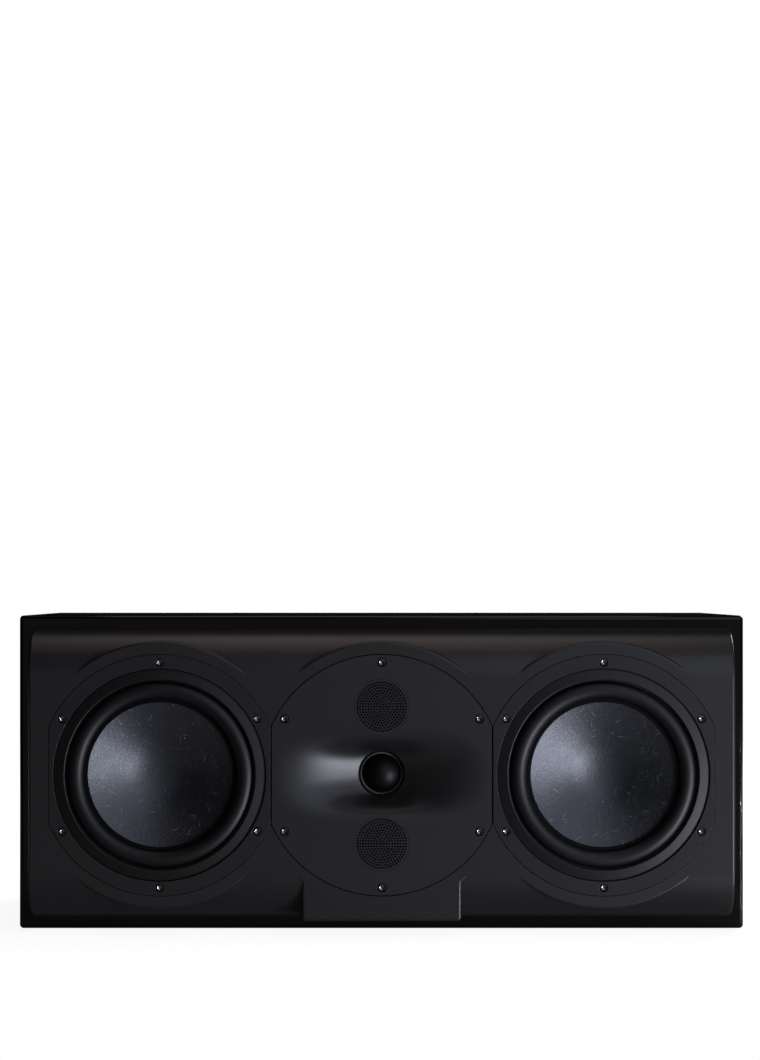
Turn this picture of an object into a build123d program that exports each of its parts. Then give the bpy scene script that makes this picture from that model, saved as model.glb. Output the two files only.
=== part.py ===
from build123d import *
import math
import os

# A center channel speaker, lying on its long side.
# Two woofers flank an upright array of three domes behind a shared horn plate.
# X runs to the right seen from the front, the front faces -Y and Z is up.
# The origin is on the floor under the middle of the box. All sizes are in millimetres.

# Cabinet: four mitred wood panels, a rear panel let in between them and two window braces
cabinet_width = 555.0
cabinet_height = 240.0
cabinet_depth = 262.0
wall = 18.0
cabinet_corner_radius = 3.0
cabinet_edge_radius = 2.8
rear_panel_inset = 2.5
brace_thickness = 12.0
brace_window_border = 34.0
brace_window_radius = 24.0
felt_thickness = 10.0
felt_border = 6.0

# Feet
foot_height = 2.5
foot_radius = 11.0
foot_side_inset = 48.0
foot_end_inset = 45.0

# Front baffle: a thick slab whose long edges roll back to the cabinet
baffle_thickness = 38.0
baffle_side_reveal = 11.0
baffle_long_reveal = 10.0
baffle_lip = 1.0
baffle_end_radius = 2.0
pad_border = 9.9
plinth_width = 120.0
tongue_depth = 6.0
tongue_clearance = 0.5

# Driver flanges: three circles with flat sides that meet, let flush into the baffle from end to end
driver_end_border = 15.55
flange_overhang = 7.35
flange_gap = 0.6
flange_thickness = 9.0
flange_clearance = 0.4
gasket_thickness = 1.0
gasket_border = 1.2
gasket_hole_clearance = 0.6
cutout_border = 14.0

# Flange screws with hexagon sockets
screw_count = 6
screw_edge = 6.1
screw_radius = 2.0
screw_length = 24.0
screw_head_radius = 3.0
screw_head_height = 2.3
screw_socket_radius = 1.45
screw_socket_depth = 1.2
counterbore_clearance = 0.3
counterbore_depth = 2.9
screw_hole_clearance = 0.25
pilot_clearance = 0.05

# Woofer trim ring and surround
trim_border = 10.7
trim_width = 8.7
trim_clearance = 0.3
trim_seat_depth = 6.0
trim_outer_depth = 2.2
trim_crest_depth = 0.2
trim_crest_width = 0.9
surround_thickness = 1.0
surround_roll_width = 13.0
surround_strip_width = 2.4
surround_crest_depth = 0.7

# Woofer cone, coil and spider
cone_land_width = 1.9
cone_thickness = 1.1
cone_slope = 25.5
cone_round_radius = 15.0
cone_neck_length = 7.0
cone_neck_wall = 1.0
former_radius = 19.0
former_thickness = 0.25
former_length = 44.0
winding_thickness = 0.8
winding_height = 14.0
glue_line = 0.3
spider_depth = 42.0
spider_radius = 50.0
spider_thickness = 0.8
spider_border = 5.0
spider_wave_height = 1.8
spider_wave_count = 4

# Woofer basket and motor
basket_mouth_inset = 0.6
basket_wall = 3.5
basket_mouth_depth = 4.0
basket_floor_radius = 30.0
basket_floor_thickness = 4.0
window_width = 36.0
window_rim = 2.5
motor_depth = 57.0
air_gap = 0.55
pole_clearance = 0.6
pole_rise = 1.0
vent_radius = 6.0
top_plate_radius = 47.0
top_plate_thickness = 7.0
magnet_radius = 52.0
magnet_bore_radius = 27.0
magnet_height = 18.0
yoke_radius = 48.0
yoke_thickness = 7.0

# Horn plate of the dome array
horn_side_border = 3.35
horn_overlap = 1.9
horn_depth = 20.0
horn_wall = 3.0
horn_steps = 4
throat_radius = 17.8
throat_depth = 6.0
mid_boss_clearance = 1.9
mid_rim_depth = 13.0
mid_throat_radius = 17.5
mid_boss_radius = 23.5

# Perforated discs in front of the two outer domes
grille_radius = 20.5
grille_thickness = 1.2
grille_clearance = 0.2
grille_rings = 5
grille_ring_pitch = 3.6
grille_hole_radius = 1.15

# Domes and their small motors
dome_radius = 14.9
dome_height = 4.8
dome_thickness = 0.4
dome_roll_width = 2.5
dome_roll_height = 1.2
dome_rim_radius = 20.5
dome_coil_thickness = 0.6
dome_coil_height = 7.4
dome_air_gap = 0.5
dome_plate_depth = 4.0
dome_plate_thickness = 3.0
dome_magnet_radius = 12.5
dome_magnet_height = 6.0
dome_cup_floor = 4.0

# Rear ports, one behind each woofer
port_bore_radius = 25.0
port_wall = 2.5
port_flare_radius = 12.0
port_flange_width = 5.0
port_length = 120.0
port_neck_wall = 8.5
port_hole_clearance = 0.5

# Terminal cup and its screws
cup_width = 86.0
cup_height = 64.0
cup_depth = 32.0
cup_wall = 3.0
cup_corner_radius = 9.0
cup_border = 10.0
cup_clearance = 0.5
cup_screw_radius = 1.5
cup_screw_length = 14.0
cup_screw_head_radius = 2.8
cup_screw_head_height = 1.4
cup_screw_edge = 5.0
cup_screw_spacing = 46.0

# Binding posts with a 4 mm socket, and their clamp knobs
post_spacing = 40.0
post_radius = 3.5
post_length = 22.0
post_collar_radius = 7.0
post_collar_height = 3.0
socket_radius = 2.0
socket_depth = 15.0
knob_radius = 8.5
knob_length = 15.0
knob_clearance = 0.08
knob_flutes = 8
knob_flute_radius = 1.4
washer_thickness = 1.5
washer_radius = 7.0
nut_radius = 6.5
nut_height = 4.0
nut_clearance = 0.05

# Crossover network, bolted behind the terminal cup by the binding posts
board_side_gap = 5.65
board_height = 104.0
board_thickness = 1.6
board_hole_clearance = 0.5
inductor_radius = 17.0
inductor_bore_radius = 7.0
inductor_height = 14.0
inductor_spacing = 44.0
inductor_rise = 30.0
capacitor_radius = 6.5
capacitor_length = 34.0
capacitor_spacing = 44.0
capacitor_drop = 19.0
resistor_length = 26.0
resistor_section = 8.0
resistor_spacing = 44.0
resistor_drop = 38.0

# Places worked out from the sizes above
total_depth = cabinet_depth + baffle_thickness
front_y = -total_depth / 2
cabinet_front_y = front_y + baffle_thickness
rear_y = total_depth / 2
panel_rear_y = rear_y - rear_panel_inset
panel_front_y = panel_rear_y - wall
center_z = foot_height + cabinet_height / 2
inner_width = cabinet_width - 2 * wall
inner_height = cabinet_height - 2 * wall
baffle_width = cabinet_width - 2 * baffle_side_reveal
baffle_height = cabinet_height - 2 * baffle_long_reveal
tongue_rear_y = cabinet_front_y + tongue_depth
driver_pitch = (baffle_width - 2 * driver_end_border) / 3
flange_width = driver_pitch - flange_gap
flange_radius = driver_pitch / 2 + flange_overhang
pad_radius = flange_radius + pad_border
cutout_radius = flange_radius - cutout_border
screw_circle_radius = flange_radius - screw_edge
trim_seat_radius = flange_radius - trim_border
trim_inner_radius = trim_seat_radius - trim_width
surround_outer_foot = trim_inner_radius - surround_thickness
surround_inner_foot = surround_outer_foot - surround_roll_width
cone_radius = surround_inner_foot - surround_strip_width
basket_mouth_radius = trim_inner_radius - basket_mouth_inset
mid_offset = cutout_radius - mid_boss_radius - mid_boss_clearance
horn_width = flange_width - 2 * horn_side_border
horn_height = 2 * (mid_offset - grille_radius + horn_overlap)
port_spacing = 2 * driver_pitch
board_width = driver_pitch - brace_thickness - 2 * board_side_gap
pocket_depth = flange_thickness + gasket_thickness
driver_places = [-driver_pitch, 0.0, driver_pitch]
woofer_places = {"left": -driver_pitch, "right": driver_pitch}
mid_places = {"upper": center_z + mid_offset, "lower": center_z - mid_offset}
tweeter_rim_depth = horn_depth + throat_depth

os.makedirs("parts", exist_ok=True)


def write(piece, name):
    piece.part.label = name
    export_step(piece.part, f"parts/{name}.step")


def facing_front(x, depth, z=center_z):
    # A sketch plane at a depth behind the front; positive extrusion comes forward
    return Plane(origin=(x, front_y + depth, z), x_dir=(1, 0, 0), z_dir=(0, -1, 0))


def facing_rear(x, y, z=center_z):
    # A sketch plane whose first direction is +X and whose extrusion runs to the rear
    return Plane(origin=(x, y, z), x_dir=(1, 0, 0), z_dir=(0, 1, 0))


def turning(x, depth, z=center_z):
    # A profile plane for turned pieces: first the radius, then the depth behind the plane's origin
    return Plane(origin=(x, front_y + depth, z), x_dir=(1, 0, 0), z_dir=(0, 0, 1))


def turning_axis(x, z=center_z):
    return Axis((x, 0, z), (0, 1, 0))


# Cabinet wrap: a rounded box tube cut into four panels along its mitres
half_width = cabinet_width / 2
half_height = cabinet_height / 2
mitre_outside = cabinet_corner_radius
mitre_inside = wall + cabinet_corner_radius
long_mitre = [
    (-half_width - mitre_outside, half_height + mitre_outside),
    (half_width + mitre_outside, half_height + mitre_outside),
    (half_width - mitre_inside, half_height - mitre_inside),
    (-half_width + mitre_inside, half_height - mitre_inside),
]
short_mitre = [
    (half_width + mitre_outside, half_height + mitre_outside),
    (half_width + mitre_outside, -half_height - mitre_outside),
    (half_width - mitre_inside, -half_height + mitre_inside),
    (half_width - mitre_inside, half_height - mitre_inside),
]
panel_mitres = {
    "top_panel": long_mitre,
    "bottom_panel": [(x, -z) for x, z in long_mitre],
    "right_panel": short_mitre,
    "left_panel": [(-x, z) for x, z in short_mitre],
}
for panel_name, mitre in panel_mitres.items():
    with BuildPart() as panel:
        with BuildSketch(facing_front(0, total_depth)):
            RectangleRounded(cabinet_width, cabinet_height, cabinet_corner_radius)
        extrude(amount=cabinet_depth)
        fillet(panel.faces().filter_by(Axis.Y).edges(), radius=cabinet_edge_radius)
        with BuildSketch(facing_front(0, total_depth)):
            Rectangle(inner_width, inner_height)
        extrude(amount=cabinet_depth, mode=Mode.SUBTRACT)
        with BuildSketch(facing_front(0, total_depth)):
            Polygon(*mitre, align=None)
        extrude(amount=cabinet_depth, mode=Mode.INTERSECT)
    write(panel, panel_name)

# Rear panel with the holes for the ports and the terminal cup
port_neck_radius = port_bore_radius + port_neck_wall
port_hole_radius = port_neck_radius + port_hole_clearance
cup_screw_x = cup_width / 2 + cup_screw_edge
cup_screw_z = cup_screw_spacing / 2
cup_screw_points = [(x, z) for x in (-cup_screw_x, cup_screw_x) for z in (-cup_screw_z, cup_screw_z)]
with BuildPart() as rear_panel:
    with BuildSketch(facing_front(0, total_depth - rear_panel_inset)):
        Rectangle(inner_width, inner_height)
        with Locations((-port_spacing / 2, 0), (port_spacing / 2, 0)):
            Circle(port_hole_radius, mode=Mode.SUBTRACT)
        RectangleRounded(
            cup_width + 2 * cup_clearance,
            cup_height + 2 * cup_clearance,
            cup_corner_radius + cup_clearance,
            mode=Mode.SUBTRACT,
        )
    extrude(amount=wall)
    with BuildSketch(facing_front(0, total_depth - rear_panel_inset)):
        with Locations(*cup_screw_points):
            Circle(cup_screw_radius + pilot_clearance)
    extrude(amount=cup_screw_length, mode=Mode.SUBTRACT)
write(rear_panel, "rear_panel")

# Window braces stand between the drivers, from the baffle's tongue to the rear panel
brace_length = panel_front_y - tongue_rear_y
for side, place in (("left", -driver_pitch / 2), ("right", driver_pitch / 2)):
    with BuildPart() as brace:
        brace_middle = (place, (panel_front_y + tongue_rear_y) / 2, center_z)
        with BuildSketch(Plane(origin=brace_middle, x_dir=(0, 1, 0), z_dir=(1, 0, 0))):
            Rectangle(brace_length, inner_height)
            RectangleRounded(
                brace_length - 2 * brace_window_border,
                inner_height - 2 * brace_window_border,
                brace_window_radius,
                mode=Mode.SUBTRACT,
            )
        extrude(amount=brace_thickness / 2, both=True)
    write(brace, f"{side}_brace")

# Felt pads line the top and the bottom of the two woofer bays
bay_inside = driver_pitch / 2 + brace_thickness / 2
bay_width = inner_width / 2 - bay_inside
bay_middle_x = bay_inside + bay_width / 2
bay_middle_y = (panel_front_y + tongue_rear_y) / 2
felt_rise = inner_height / 2 - felt_thickness / 2
with BuildPart() as damping_felt:
    with Locations(
        (-bay_middle_x, bay_middle_y, center_z + felt_rise),
        (bay_middle_x, bay_middle_y, center_z + felt_rise),
        (-bay_middle_x, bay_middle_y, center_z - felt_rise),
        (bay_middle_x, bay_middle_y, center_z - felt_rise),
    ):
        Box(bay_width - 2 * felt_border, brace_length - 2 * felt_border, felt_thickness)
write(damping_felt, "damping_felt")

# Four rubber feet under the corners
foot_span_x = cabinet_width - 2 * foot_side_inset
foot_span_y = cabinet_depth - 2 * foot_end_inset
with BuildPart() as rubber_feet:
    with BuildSketch(Plane((0, (cabinet_front_y + rear_y) / 2, 0))):
        with GridLocations(foot_span_x, foot_span_y, 2, 2):
            Circle(foot_radius)
    extrude(amount=foot_height)
write(rubber_feet, "rubber_feet")

# Front baffle: the slab with rolled long edges, then the flat pads that stay level with its front
pocket_radius = flange_radius + flange_clearance
pocket_width = flange_width + 2 * flange_clearance
with BuildPart() as front_baffle:
    with BuildSketch(Plane((0, cabinet_front_y, center_z), x_dir=(0, 1, 0), z_dir=(1, 0, 0))) as section:
        with Locations((-baffle_thickness / 2, 0)):
            Rectangle(baffle_thickness, baffle_height)
        fillet(section.vertices().group_by(Axis.X)[0], radius=baffle_thickness - baffle_lip)
    extrude(amount=baffle_width / 2, both=True)
    with BuildSketch(facing_front(0, 0)):
        with Locations(*[(x, 0) for x in driver_places]):
            Circle(pad_radius)
        with Locations((0, -baffle_height / 4)):
            Rectangle(plinth_width, baffle_height / 2)
        Rectangle(baffle_width, baffle_height, mode=Mode.INTERSECT)
    extrude(amount=-baffle_thickness)
    end_edges = [
        edge
        for end in (front_baffle.faces().sort_by(Axis.X)[0], front_baffle.faces().sort_by(Axis.X)[-1])
        for edge in end.edges()
        if edge.center().Y < cabinet_front_y - baffle_lip
    ]
    fillet(end_edges, radius=baffle_end_radius)
    with BuildSketch(facing_front(0, baffle_thickness)):
        Rectangle(inner_width - 2 * tongue_clearance, inner_height - 2 * tongue_clearance)
    extrude(amount=-tongue_depth)
    for x in driver_places:
        with BuildSketch(facing_front(x, 0)):
            Circle(pocket_radius)
            Rectangle(pocket_width, 2 * pocket_radius, mode=Mode.INTERSECT)
        extrude(amount=-pocket_depth, mode=Mode.SUBTRACT)
    with BuildSketch(facing_front(0, 0)):
        with Locations(*[(x, 0) for x in driver_places]):
            Circle(cutout_radius)
    extrude(amount=-baffle_thickness - tongue_depth, mode=Mode.SUBTRACT)
    for x in driver_places:
        with BuildSketch(facing_front(x, 0)):
            with PolarLocations(screw_circle_radius, screw_count, start_angle=90):
                Circle(screw_radius + pilot_clearance)
        extrude(amount=-counterbore_depth - screw_length, mode=Mode.SUBTRACT)
write(front_baffle, "front_baffle")

# Flange screws of all three drivers, with domed heads and hexagon sockets
with BuildPart() as driver_screws:
    for x in driver_places:
        head_front = counterbore_depth - screw_head_height
        with BuildSketch(facing_front(x, counterbore_depth)):
            with PolarLocations(screw_circle_radius, screw_count, start_angle=90):
                Circle(screw_head_radius)
        extrude(amount=screw_head_height)
        with BuildSketch(facing_front(x, counterbore_depth)):
            with PolarLocations(screw_circle_radius, screw_count, start_angle=90):
                Circle(screw_radius)
        extrude(amount=-screw_length)
        with BuildSketch(facing_front(x, head_front)):
            with PolarLocations(screw_circle_radius, screw_count, start_angle=90):
                RegularPolygon(screw_socket_radius, 6)
        extrude(amount=-screw_socket_depth, mode=Mode.SUBTRACT)
    chamfer(
        driver_screws.edges().filter_by(GeomType.CIRCLE).group_by(Axis.Y)[0],
        length=screw_head_height / 3,
    )
write(driver_screws, "driver_screws")

# Woofers: every piece is placed by its depth behind the front
lip_depth = trim_seat_depth + surround_thickness
trim_radius = trim_seat_radius - trim_clearance
former_outer_radius = former_radius + former_thickness
winding_radius = former_outer_radius + winding_thickness
top_plate_bore_radius = winding_radius + air_gap
pole_radius = former_radius - pole_clearance
magnet_depth = motor_depth + top_plate_thickness
yoke_depth = magnet_depth + magnet_height
winding_depth = motor_depth + top_plate_thickness / 2 - winding_height / 2
cone_fall = math.tan(math.radians(cone_slope))
cone_round_depth = lip_depth + (cone_radius - cone_round_radius) * cone_fall
cone_ball_radius = cone_round_radius / math.sin(math.radians(cone_slope))
cone_middle_depth = cone_round_depth + cone_ball_radius * (1 - math.cos(math.radians(cone_slope)))
cone_half_angle = math.radians(cone_slope / 2)
cone_round_middle = (
    cone_ball_radius * math.sin(cone_half_angle),
    cone_middle_depth - cone_ball_radius * (1 - math.cos(cone_half_angle)),
)
neck_radius = former_outer_radius + pilot_clearance
neck_depth = lip_depth + (cone_radius - neck_radius) * cone_fall + cone_thickness / 2
former_depth = lip_depth + (cone_radius - former_radius) * cone_fall + cone_thickness + glue_line
ledge_radius = spider_radius + glue_line
floor_depth = motor_depth - basket_floor_thickness
shell_radius = basket_mouth_radius + basket_wall
bowl_depth = flange_thickness + basket_mouth_depth
window_inner_radius = ledge_radius + basket_wall
window_length = cutout_radius - window_inner_radius
spider_bore_radius = former_outer_radius + glue_line
spider_run = spider_radius - spider_border - spider_bore_radius - spider_border
for side, x in woofer_places.items():
    # Cast basket: a flange with a seat for the trim ring, six arms, a ledge and a floor for the motor
    with BuildPart() as basket:
        with BuildSketch(facing_front(x, 0)):
            Circle(flange_radius)
            Rectangle(flange_width, 2 * flange_radius, mode=Mode.INTERSECT)
            Circle(basket_mouth_radius, mode=Mode.SUBTRACT)
        extrude(amount=-flange_thickness)
        with BuildSketch(facing_front(x, 0)):
            Circle(trim_seat_radius)
        extrude(amount=-lip_depth, mode=Mode.SUBTRACT)
        with BuildSketch(turning(x, 0)):
            with BuildLine():
                Polyline(
                    (basket_mouth_radius, lip_depth),
                    (basket_mouth_radius, bowl_depth),
                    (ledge_radius, spider_depth - basket_wall),
                    (ledge_radius, spider_depth),
                    (spider_radius - spider_border, spider_depth),
                    (spider_radius - spider_border, floor_depth),
                    (basket_floor_radius, floor_depth),
                    (basket_floor_radius, motor_depth),
                    (ledge_radius, motor_depth),
                    (ledge_radius, spider_depth + basket_wall),
                    (ledge_radius + basket_wall, spider_depth),
                    (shell_radius, bowl_depth),
                    (shell_radius, lip_depth),
                    close=True,
                )
            make_face()
        revolve(axis=turning_axis(x))
        with BuildSketch(facing_front(x, bowl_depth + window_rim)):
            with PolarLocations(window_inner_radius + window_length / 2, screw_count):
                Rectangle(window_length, window_width)
        extrude(amount=-(spider_depth - basket_wall - bowl_depth - window_rim), mode=Mode.SUBTRACT)
        with BuildSketch(facing_front(x, 0)):
            with PolarLocations(screw_circle_radius, screw_count, start_angle=90):
                Circle(screw_head_radius + counterbore_clearance)
        extrude(amount=-counterbore_depth, mode=Mode.SUBTRACT)
        with BuildSketch(facing_front(x, 0)):
            with PolarLocations(screw_circle_radius, screw_count, start_angle=90):
                Circle(screw_radius + screw_hole_clearance)
        extrude(amount=-flange_thickness, mode=Mode.SUBTRACT)
    write(basket, f"{side}_woofer_basket")

    # Foam gasket under the flange
    with BuildPart() as gasket:
        with BuildSketch(facing_front(x, flange_thickness)):
            Circle(flange_radius - gasket_border)
            Rectangle(flange_width - 2 * gasket_border, 2 * flange_radius, mode=Mode.INTERSECT)
            Circle(cutout_radius, mode=Mode.SUBTRACT)
            with PolarLocations(screw_circle_radius, screw_count, start_angle=90):
                Circle(screw_radius + gasket_hole_clearance, mode=Mode.SUBTRACT)
        extrude(amount=-gasket_thickness)
    write(gasket, f"{side}_woofer_gasket")

    # Sloped trim ring that clamps the surround's lip
    with BuildPart() as trim_ring:
        with BuildSketch(turning(x, 0)):
            with BuildLine():
                Polyline(
                    (trim_inner_radius, trim_seat_depth),
                    (trim_radius, trim_seat_depth),
                    (trim_radius, trim_outer_depth),
                    (trim_inner_radius + trim_crest_width, trim_crest_depth),
                    (trim_inner_radius, trim_crest_depth + trim_crest_width),
                    close=True,
                )
            make_face()
        revolve(axis=turning_axis(x))
    write(trim_ring, f"{side}_woofer_trim_ring")

    # Rubber surround: a clamped lip, a half roll and a strip glued on the cone's land
    roll_middle = (surround_outer_foot + surround_inner_foot) / 2
    with BuildPart() as surround:
        with BuildSketch(turning(x, 0)):
            with BuildLine():
                Line((trim_radius, lip_depth), (trim_radius, trim_seat_depth))
                Line((trim_radius, trim_seat_depth), (surround_outer_foot, trim_seat_depth))
                ThreePointArc(
                    (surround_outer_foot, trim_seat_depth),
                    (roll_middle, surround_crest_depth),
                    (surround_inner_foot, trim_seat_depth),
                )
                Line((surround_inner_foot, trim_seat_depth), (cone_radius, trim_seat_depth))
                Line((cone_radius, trim_seat_depth), (cone_radius, lip_depth))
                Line((cone_radius, lip_depth), (surround_inner_foot + surround_thickness, lip_depth))
                ThreePointArc(
                    (surround_inner_foot + surround_thickness, lip_depth),
                    (roll_middle, surround_crest_depth + surround_thickness),
                    (surround_outer_foot - surround_thickness, lip_depth),
                )
                Line((surround_outer_foot - surround_thickness, lip_depth), (trim_radius, lip_depth))
            make_face()
        revolve(axis=turning_axis(x))
    write(surround, f"{side}_woofer_surround")

    # Cone: one pressed dish with a rounded middle, a flat land at its edge and a neck for the coil
    with BuildPart() as cone:
        with BuildSketch(turning(x, 0)):
            with BuildLine():
                Line((0, cone_middle_depth + cone_thickness), (0, cone_middle_depth))
                ThreePointArc(
                    (0, cone_middle_depth),
                    cone_round_middle,
                    (cone_round_radius, cone_round_depth),
                )
                Polyline(
                    (cone_round_radius, cone_round_depth),
                    (cone_radius, lip_depth),
                    (cone_radius + cone_land_width, lip_depth),
                    (cone_radius + cone_land_width, lip_depth + cone_thickness),
                    (cone_radius, lip_depth + cone_thickness),
                    (cone_round_radius, cone_round_depth + cone_thickness),
                )
                ThreePointArc(
                    (cone_round_radius, cone_round_depth + cone_thickness),
                    (cone_round_middle[0], cone_round_middle[1] + cone_thickness),
                    (0, cone_middle_depth + cone_thickness),
                )
            make_face()
        revolve(axis=turning_axis(x))
        with BuildSketch(facing_front(x, neck_depth)):
            Circle(neck_radius + cone_neck_wall)
            Circle(neck_radius, mode=Mode.SUBTRACT)
        extrude(amount=-cone_neck_length)
    write(cone, f"{side}_woofer_cone")

    # Voice coil: a thin former with its winding in the motor's gap
    with BuildPart() as voice_coil:
        with BuildSketch(facing_front(x, former_depth)):
            Circle(former_outer_radius)
            Circle(former_radius, mode=Mode.SUBTRACT)
        extrude(amount=-former_length)
        with BuildSketch(facing_front(x, winding_depth)):
            Circle(winding_radius)
            Circle(former_radius, mode=Mode.SUBTRACT)
        extrude(amount=-winding_height)
    write(voice_coil, f"{side}_woofer_voice_coil")

    # Spider: a corrugated cloth disc from the coil former to the basket's ledge
    with BuildPart() as spider:
        wave_points = [
            (
                spider_bore_radius + spider_border + spider_run * step / (2 * spider_wave_count),
                spider_depth - (spider_wave_height if step % 2 else 0),
            )
            for step in range(2 * spider_wave_count + 1)
        ]
        rear_points = [(spider_bore_radius, spider_depth), *wave_points, (spider_radius, spider_depth)]
        front_points = [(radius, depth - spider_thickness) for radius, depth in reversed(rear_points)]
        with BuildSketch(turning(x, 0)):
            with BuildLine():
                Polyline(*rear_points, *front_points, close=True)
            make_face()
        revolve(axis=turning_axis(x))
    write(spider, f"{side}_woofer_spider")

    # Motor: top plate, ring magnet and a yoke with a vented pole
    with BuildPart() as top_plate:
        with BuildSketch(facing_front(x, motor_depth)):
            Circle(top_plate_radius)
            Circle(top_plate_bore_radius, mode=Mode.SUBTRACT)
        extrude(amount=-top_plate_thickness)
    write(top_plate, f"{side}_woofer_top_plate")

    with BuildPart() as magnet:
        with BuildSketch(facing_front(x, magnet_depth)):
            Circle(magnet_radius)
            Circle(magnet_bore_radius, mode=Mode.SUBTRACT)
        extrude(amount=-magnet_height)
    write(magnet, f"{side}_woofer_magnet")

    with BuildPart() as yoke:
        with BuildSketch(facing_front(x, yoke_depth)):
            Circle(yoke_radius)
        extrude(amount=-yoke_thickness)
        with BuildSketch(facing_front(x, yoke_depth)):
            Circle(pole_radius)
        extrude(amount=yoke_depth - motor_depth + pole_rise)
        with BuildSketch(facing_front(x, yoke_depth + yoke_thickness)):
            Circle(vent_radius)
        extrude(amount=yoke_depth + yoke_thickness - motor_depth + pole_rise, mode=Mode.SUBTRACT)
    write(yoke, f"{side}_woofer_yoke")

# Horn plate: the same flange outline with a wide horn, its rear skin and seats for the domes
horn_shares = [step / horn_steps for step in range(horn_steps + 1)]
with BuildPart() as horn_plate:
    with BuildSketch(facing_front(0, 0)):
        Circle(flange_radius)
        Rectangle(flange_width, 2 * flange_radius, mode=Mode.INTERSECT)
    extrude(amount=-flange_thickness)
    for share in horn_shares:
        with BuildSketch(facing_front(0, horn_wall + horn_depth * (1 - share) ** 2)):
            Ellipse(
                throat_radius + (horn_width / 2 - throat_radius) * share + horn_wall,
                throat_radius + (horn_height / 2 - throat_radius) * share + horn_wall,
            )
    loft()
    with BuildSketch(facing_front(0, tweeter_rim_depth)):
        Circle(throat_radius + horn_wall)
    extrude(amount=throat_depth)
    with BuildSketch(facing_front(0, mid_rim_depth)):
        with Locations((0, mid_offset), (0, -mid_offset)):
            Circle(mid_boss_radius)
    extrude(amount=mid_rim_depth - flange_thickness / 2)
    for share in horn_shares:
        with BuildSketch(facing_front(0, horn_depth * (1 - share) ** 2)):
            Ellipse(
                throat_radius + (horn_width / 2 - throat_radius) * share,
                throat_radius + (horn_height / 2 - throat_radius) * share,
            )
    loft(mode=Mode.SUBTRACT)
    with BuildSketch(facing_front(0, horn_depth)):
        Circle(throat_radius)
    extrude(amount=-throat_depth - horn_wall, mode=Mode.SUBTRACT)
    with BuildSketch(facing_front(0, 0)):
        with Locations((0, mid_offset), (0, -mid_offset)):
            Circle(mid_throat_radius)
    extrude(amount=-mid_rim_depth, mode=Mode.SUBTRACT)
    with BuildSketch(facing_front(0, 0)):
        with Locations((0, mid_offset), (0, -mid_offset)):
            Circle(grille_radius + grille_clearance)
    extrude(amount=-grille_thickness, mode=Mode.SUBTRACT)
    with BuildSketch(facing_front(0, 0)):
        with PolarLocations(screw_circle_radius, screw_count, start_angle=90):
            Circle(screw_head_radius + counterbore_clearance)
    extrude(amount=-counterbore_depth, mode=Mode.SUBTRACT)
    with BuildSketch(facing_front(0, 0)):
        with PolarLocations(screw_circle_radius, screw_count, start_angle=90):
            Circle(screw_radius + screw_hole_clearance)
    extrude(amount=-flange_thickness, mode=Mode.SUBTRACT)
write(horn_plate, "horn_plate")

with BuildPart() as horn_gasket:
    with BuildSketch(facing_front(0, flange_thickness)):
        Circle(flange_radius - gasket_border)
        Rectangle(flange_width - 2 * gasket_border, 2 * flange_radius, mode=Mode.INTERSECT)
        Circle(cutout_radius, mode=Mode.SUBTRACT)
        with PolarLocations(screw_circle_radius, screw_count, start_angle=90):
            Circle(screw_radius + gasket_hole_clearance, mode=Mode.SUBTRACT)
    extrude(amount=-gasket_thickness)
write(horn_gasket, "horn_gasket")

# Perforated discs: rings of six-sided holes, six more in each ring
for name, z in mid_places.items():
    with BuildPart() as grille:
        with BuildSketch(facing_front(0, 0, z)):
            Circle(grille_radius)
            RegularPolygon(grille_hole_radius, 6, mode=Mode.SUBTRACT)
            for ring in range(1, grille_rings + 1):
                with PolarLocations(ring * grille_ring_pitch, 6 * ring):
                    RegularPolygon(grille_hole_radius, 6, mode=Mode.SUBTRACT)
        extrude(amount=-grille_thickness)
    write(grille, f"{name}_grille")

# Domes: each is one pressed piece with its own small roll and a flat rim
dome_roll_radius = dome_radius + dome_roll_width
dome_roll_middle = dome_radius + dome_roll_width / 2
dome_ball_radius = (dome_radius**2 + dome_height**2) / (2 * dome_height)
dome_half_angle = math.asin(dome_radius / dome_ball_radius) / 2
dome_middle = (
    dome_ball_radius * math.sin(dome_half_angle),
    dome_ball_radius * (1 - math.cos(dome_half_angle)) - dome_height,
)
dome_places = {
    "tweeter": (center_z, tweeter_rim_depth),
    "upper_mid": (mid_places["upper"], mid_rim_depth),
    "lower_mid": (mid_places["lower"], mid_rim_depth),
}
for name, (z, rim_depth) in dome_places.items():
    with BuildPart() as dome:
        with BuildSketch(turning(0, rim_depth, z)):
            with BuildLine():
                Line((0, dome_thickness - dome_height), (0, -dome_height))
                ThreePointArc((0, -dome_height), dome_middle, (dome_radius, 0))
                ThreePointArc(
                    (dome_radius, 0),
                    (dome_roll_middle, -dome_roll_height),
                    (dome_roll_radius, 0),
                )
                Polyline(
                    (dome_roll_radius, 0),
                    (dome_rim_radius, 0),
                    (dome_rim_radius, dome_thickness),
                    (dome_roll_radius - dome_thickness, dome_thickness),
                )
                ThreePointArc(
                    (dome_roll_radius - dome_thickness, dome_thickness),
                    (dome_roll_middle, dome_thickness - dome_roll_height),
                    (dome_radius + dome_thickness, dome_thickness),
                )
                Line((dome_radius + dome_thickness, dome_thickness), (dome_radius, dome_thickness))
                ThreePointArc(
                    (dome_radius, dome_thickness),
                    (dome_middle[0], dome_middle[1] + dome_thickness),
                    (0, dome_thickness - dome_height),
                )
            make_face()
        revolve(axis=turning_axis(0, z))
    write(dome, f"{name}_dome")

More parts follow.
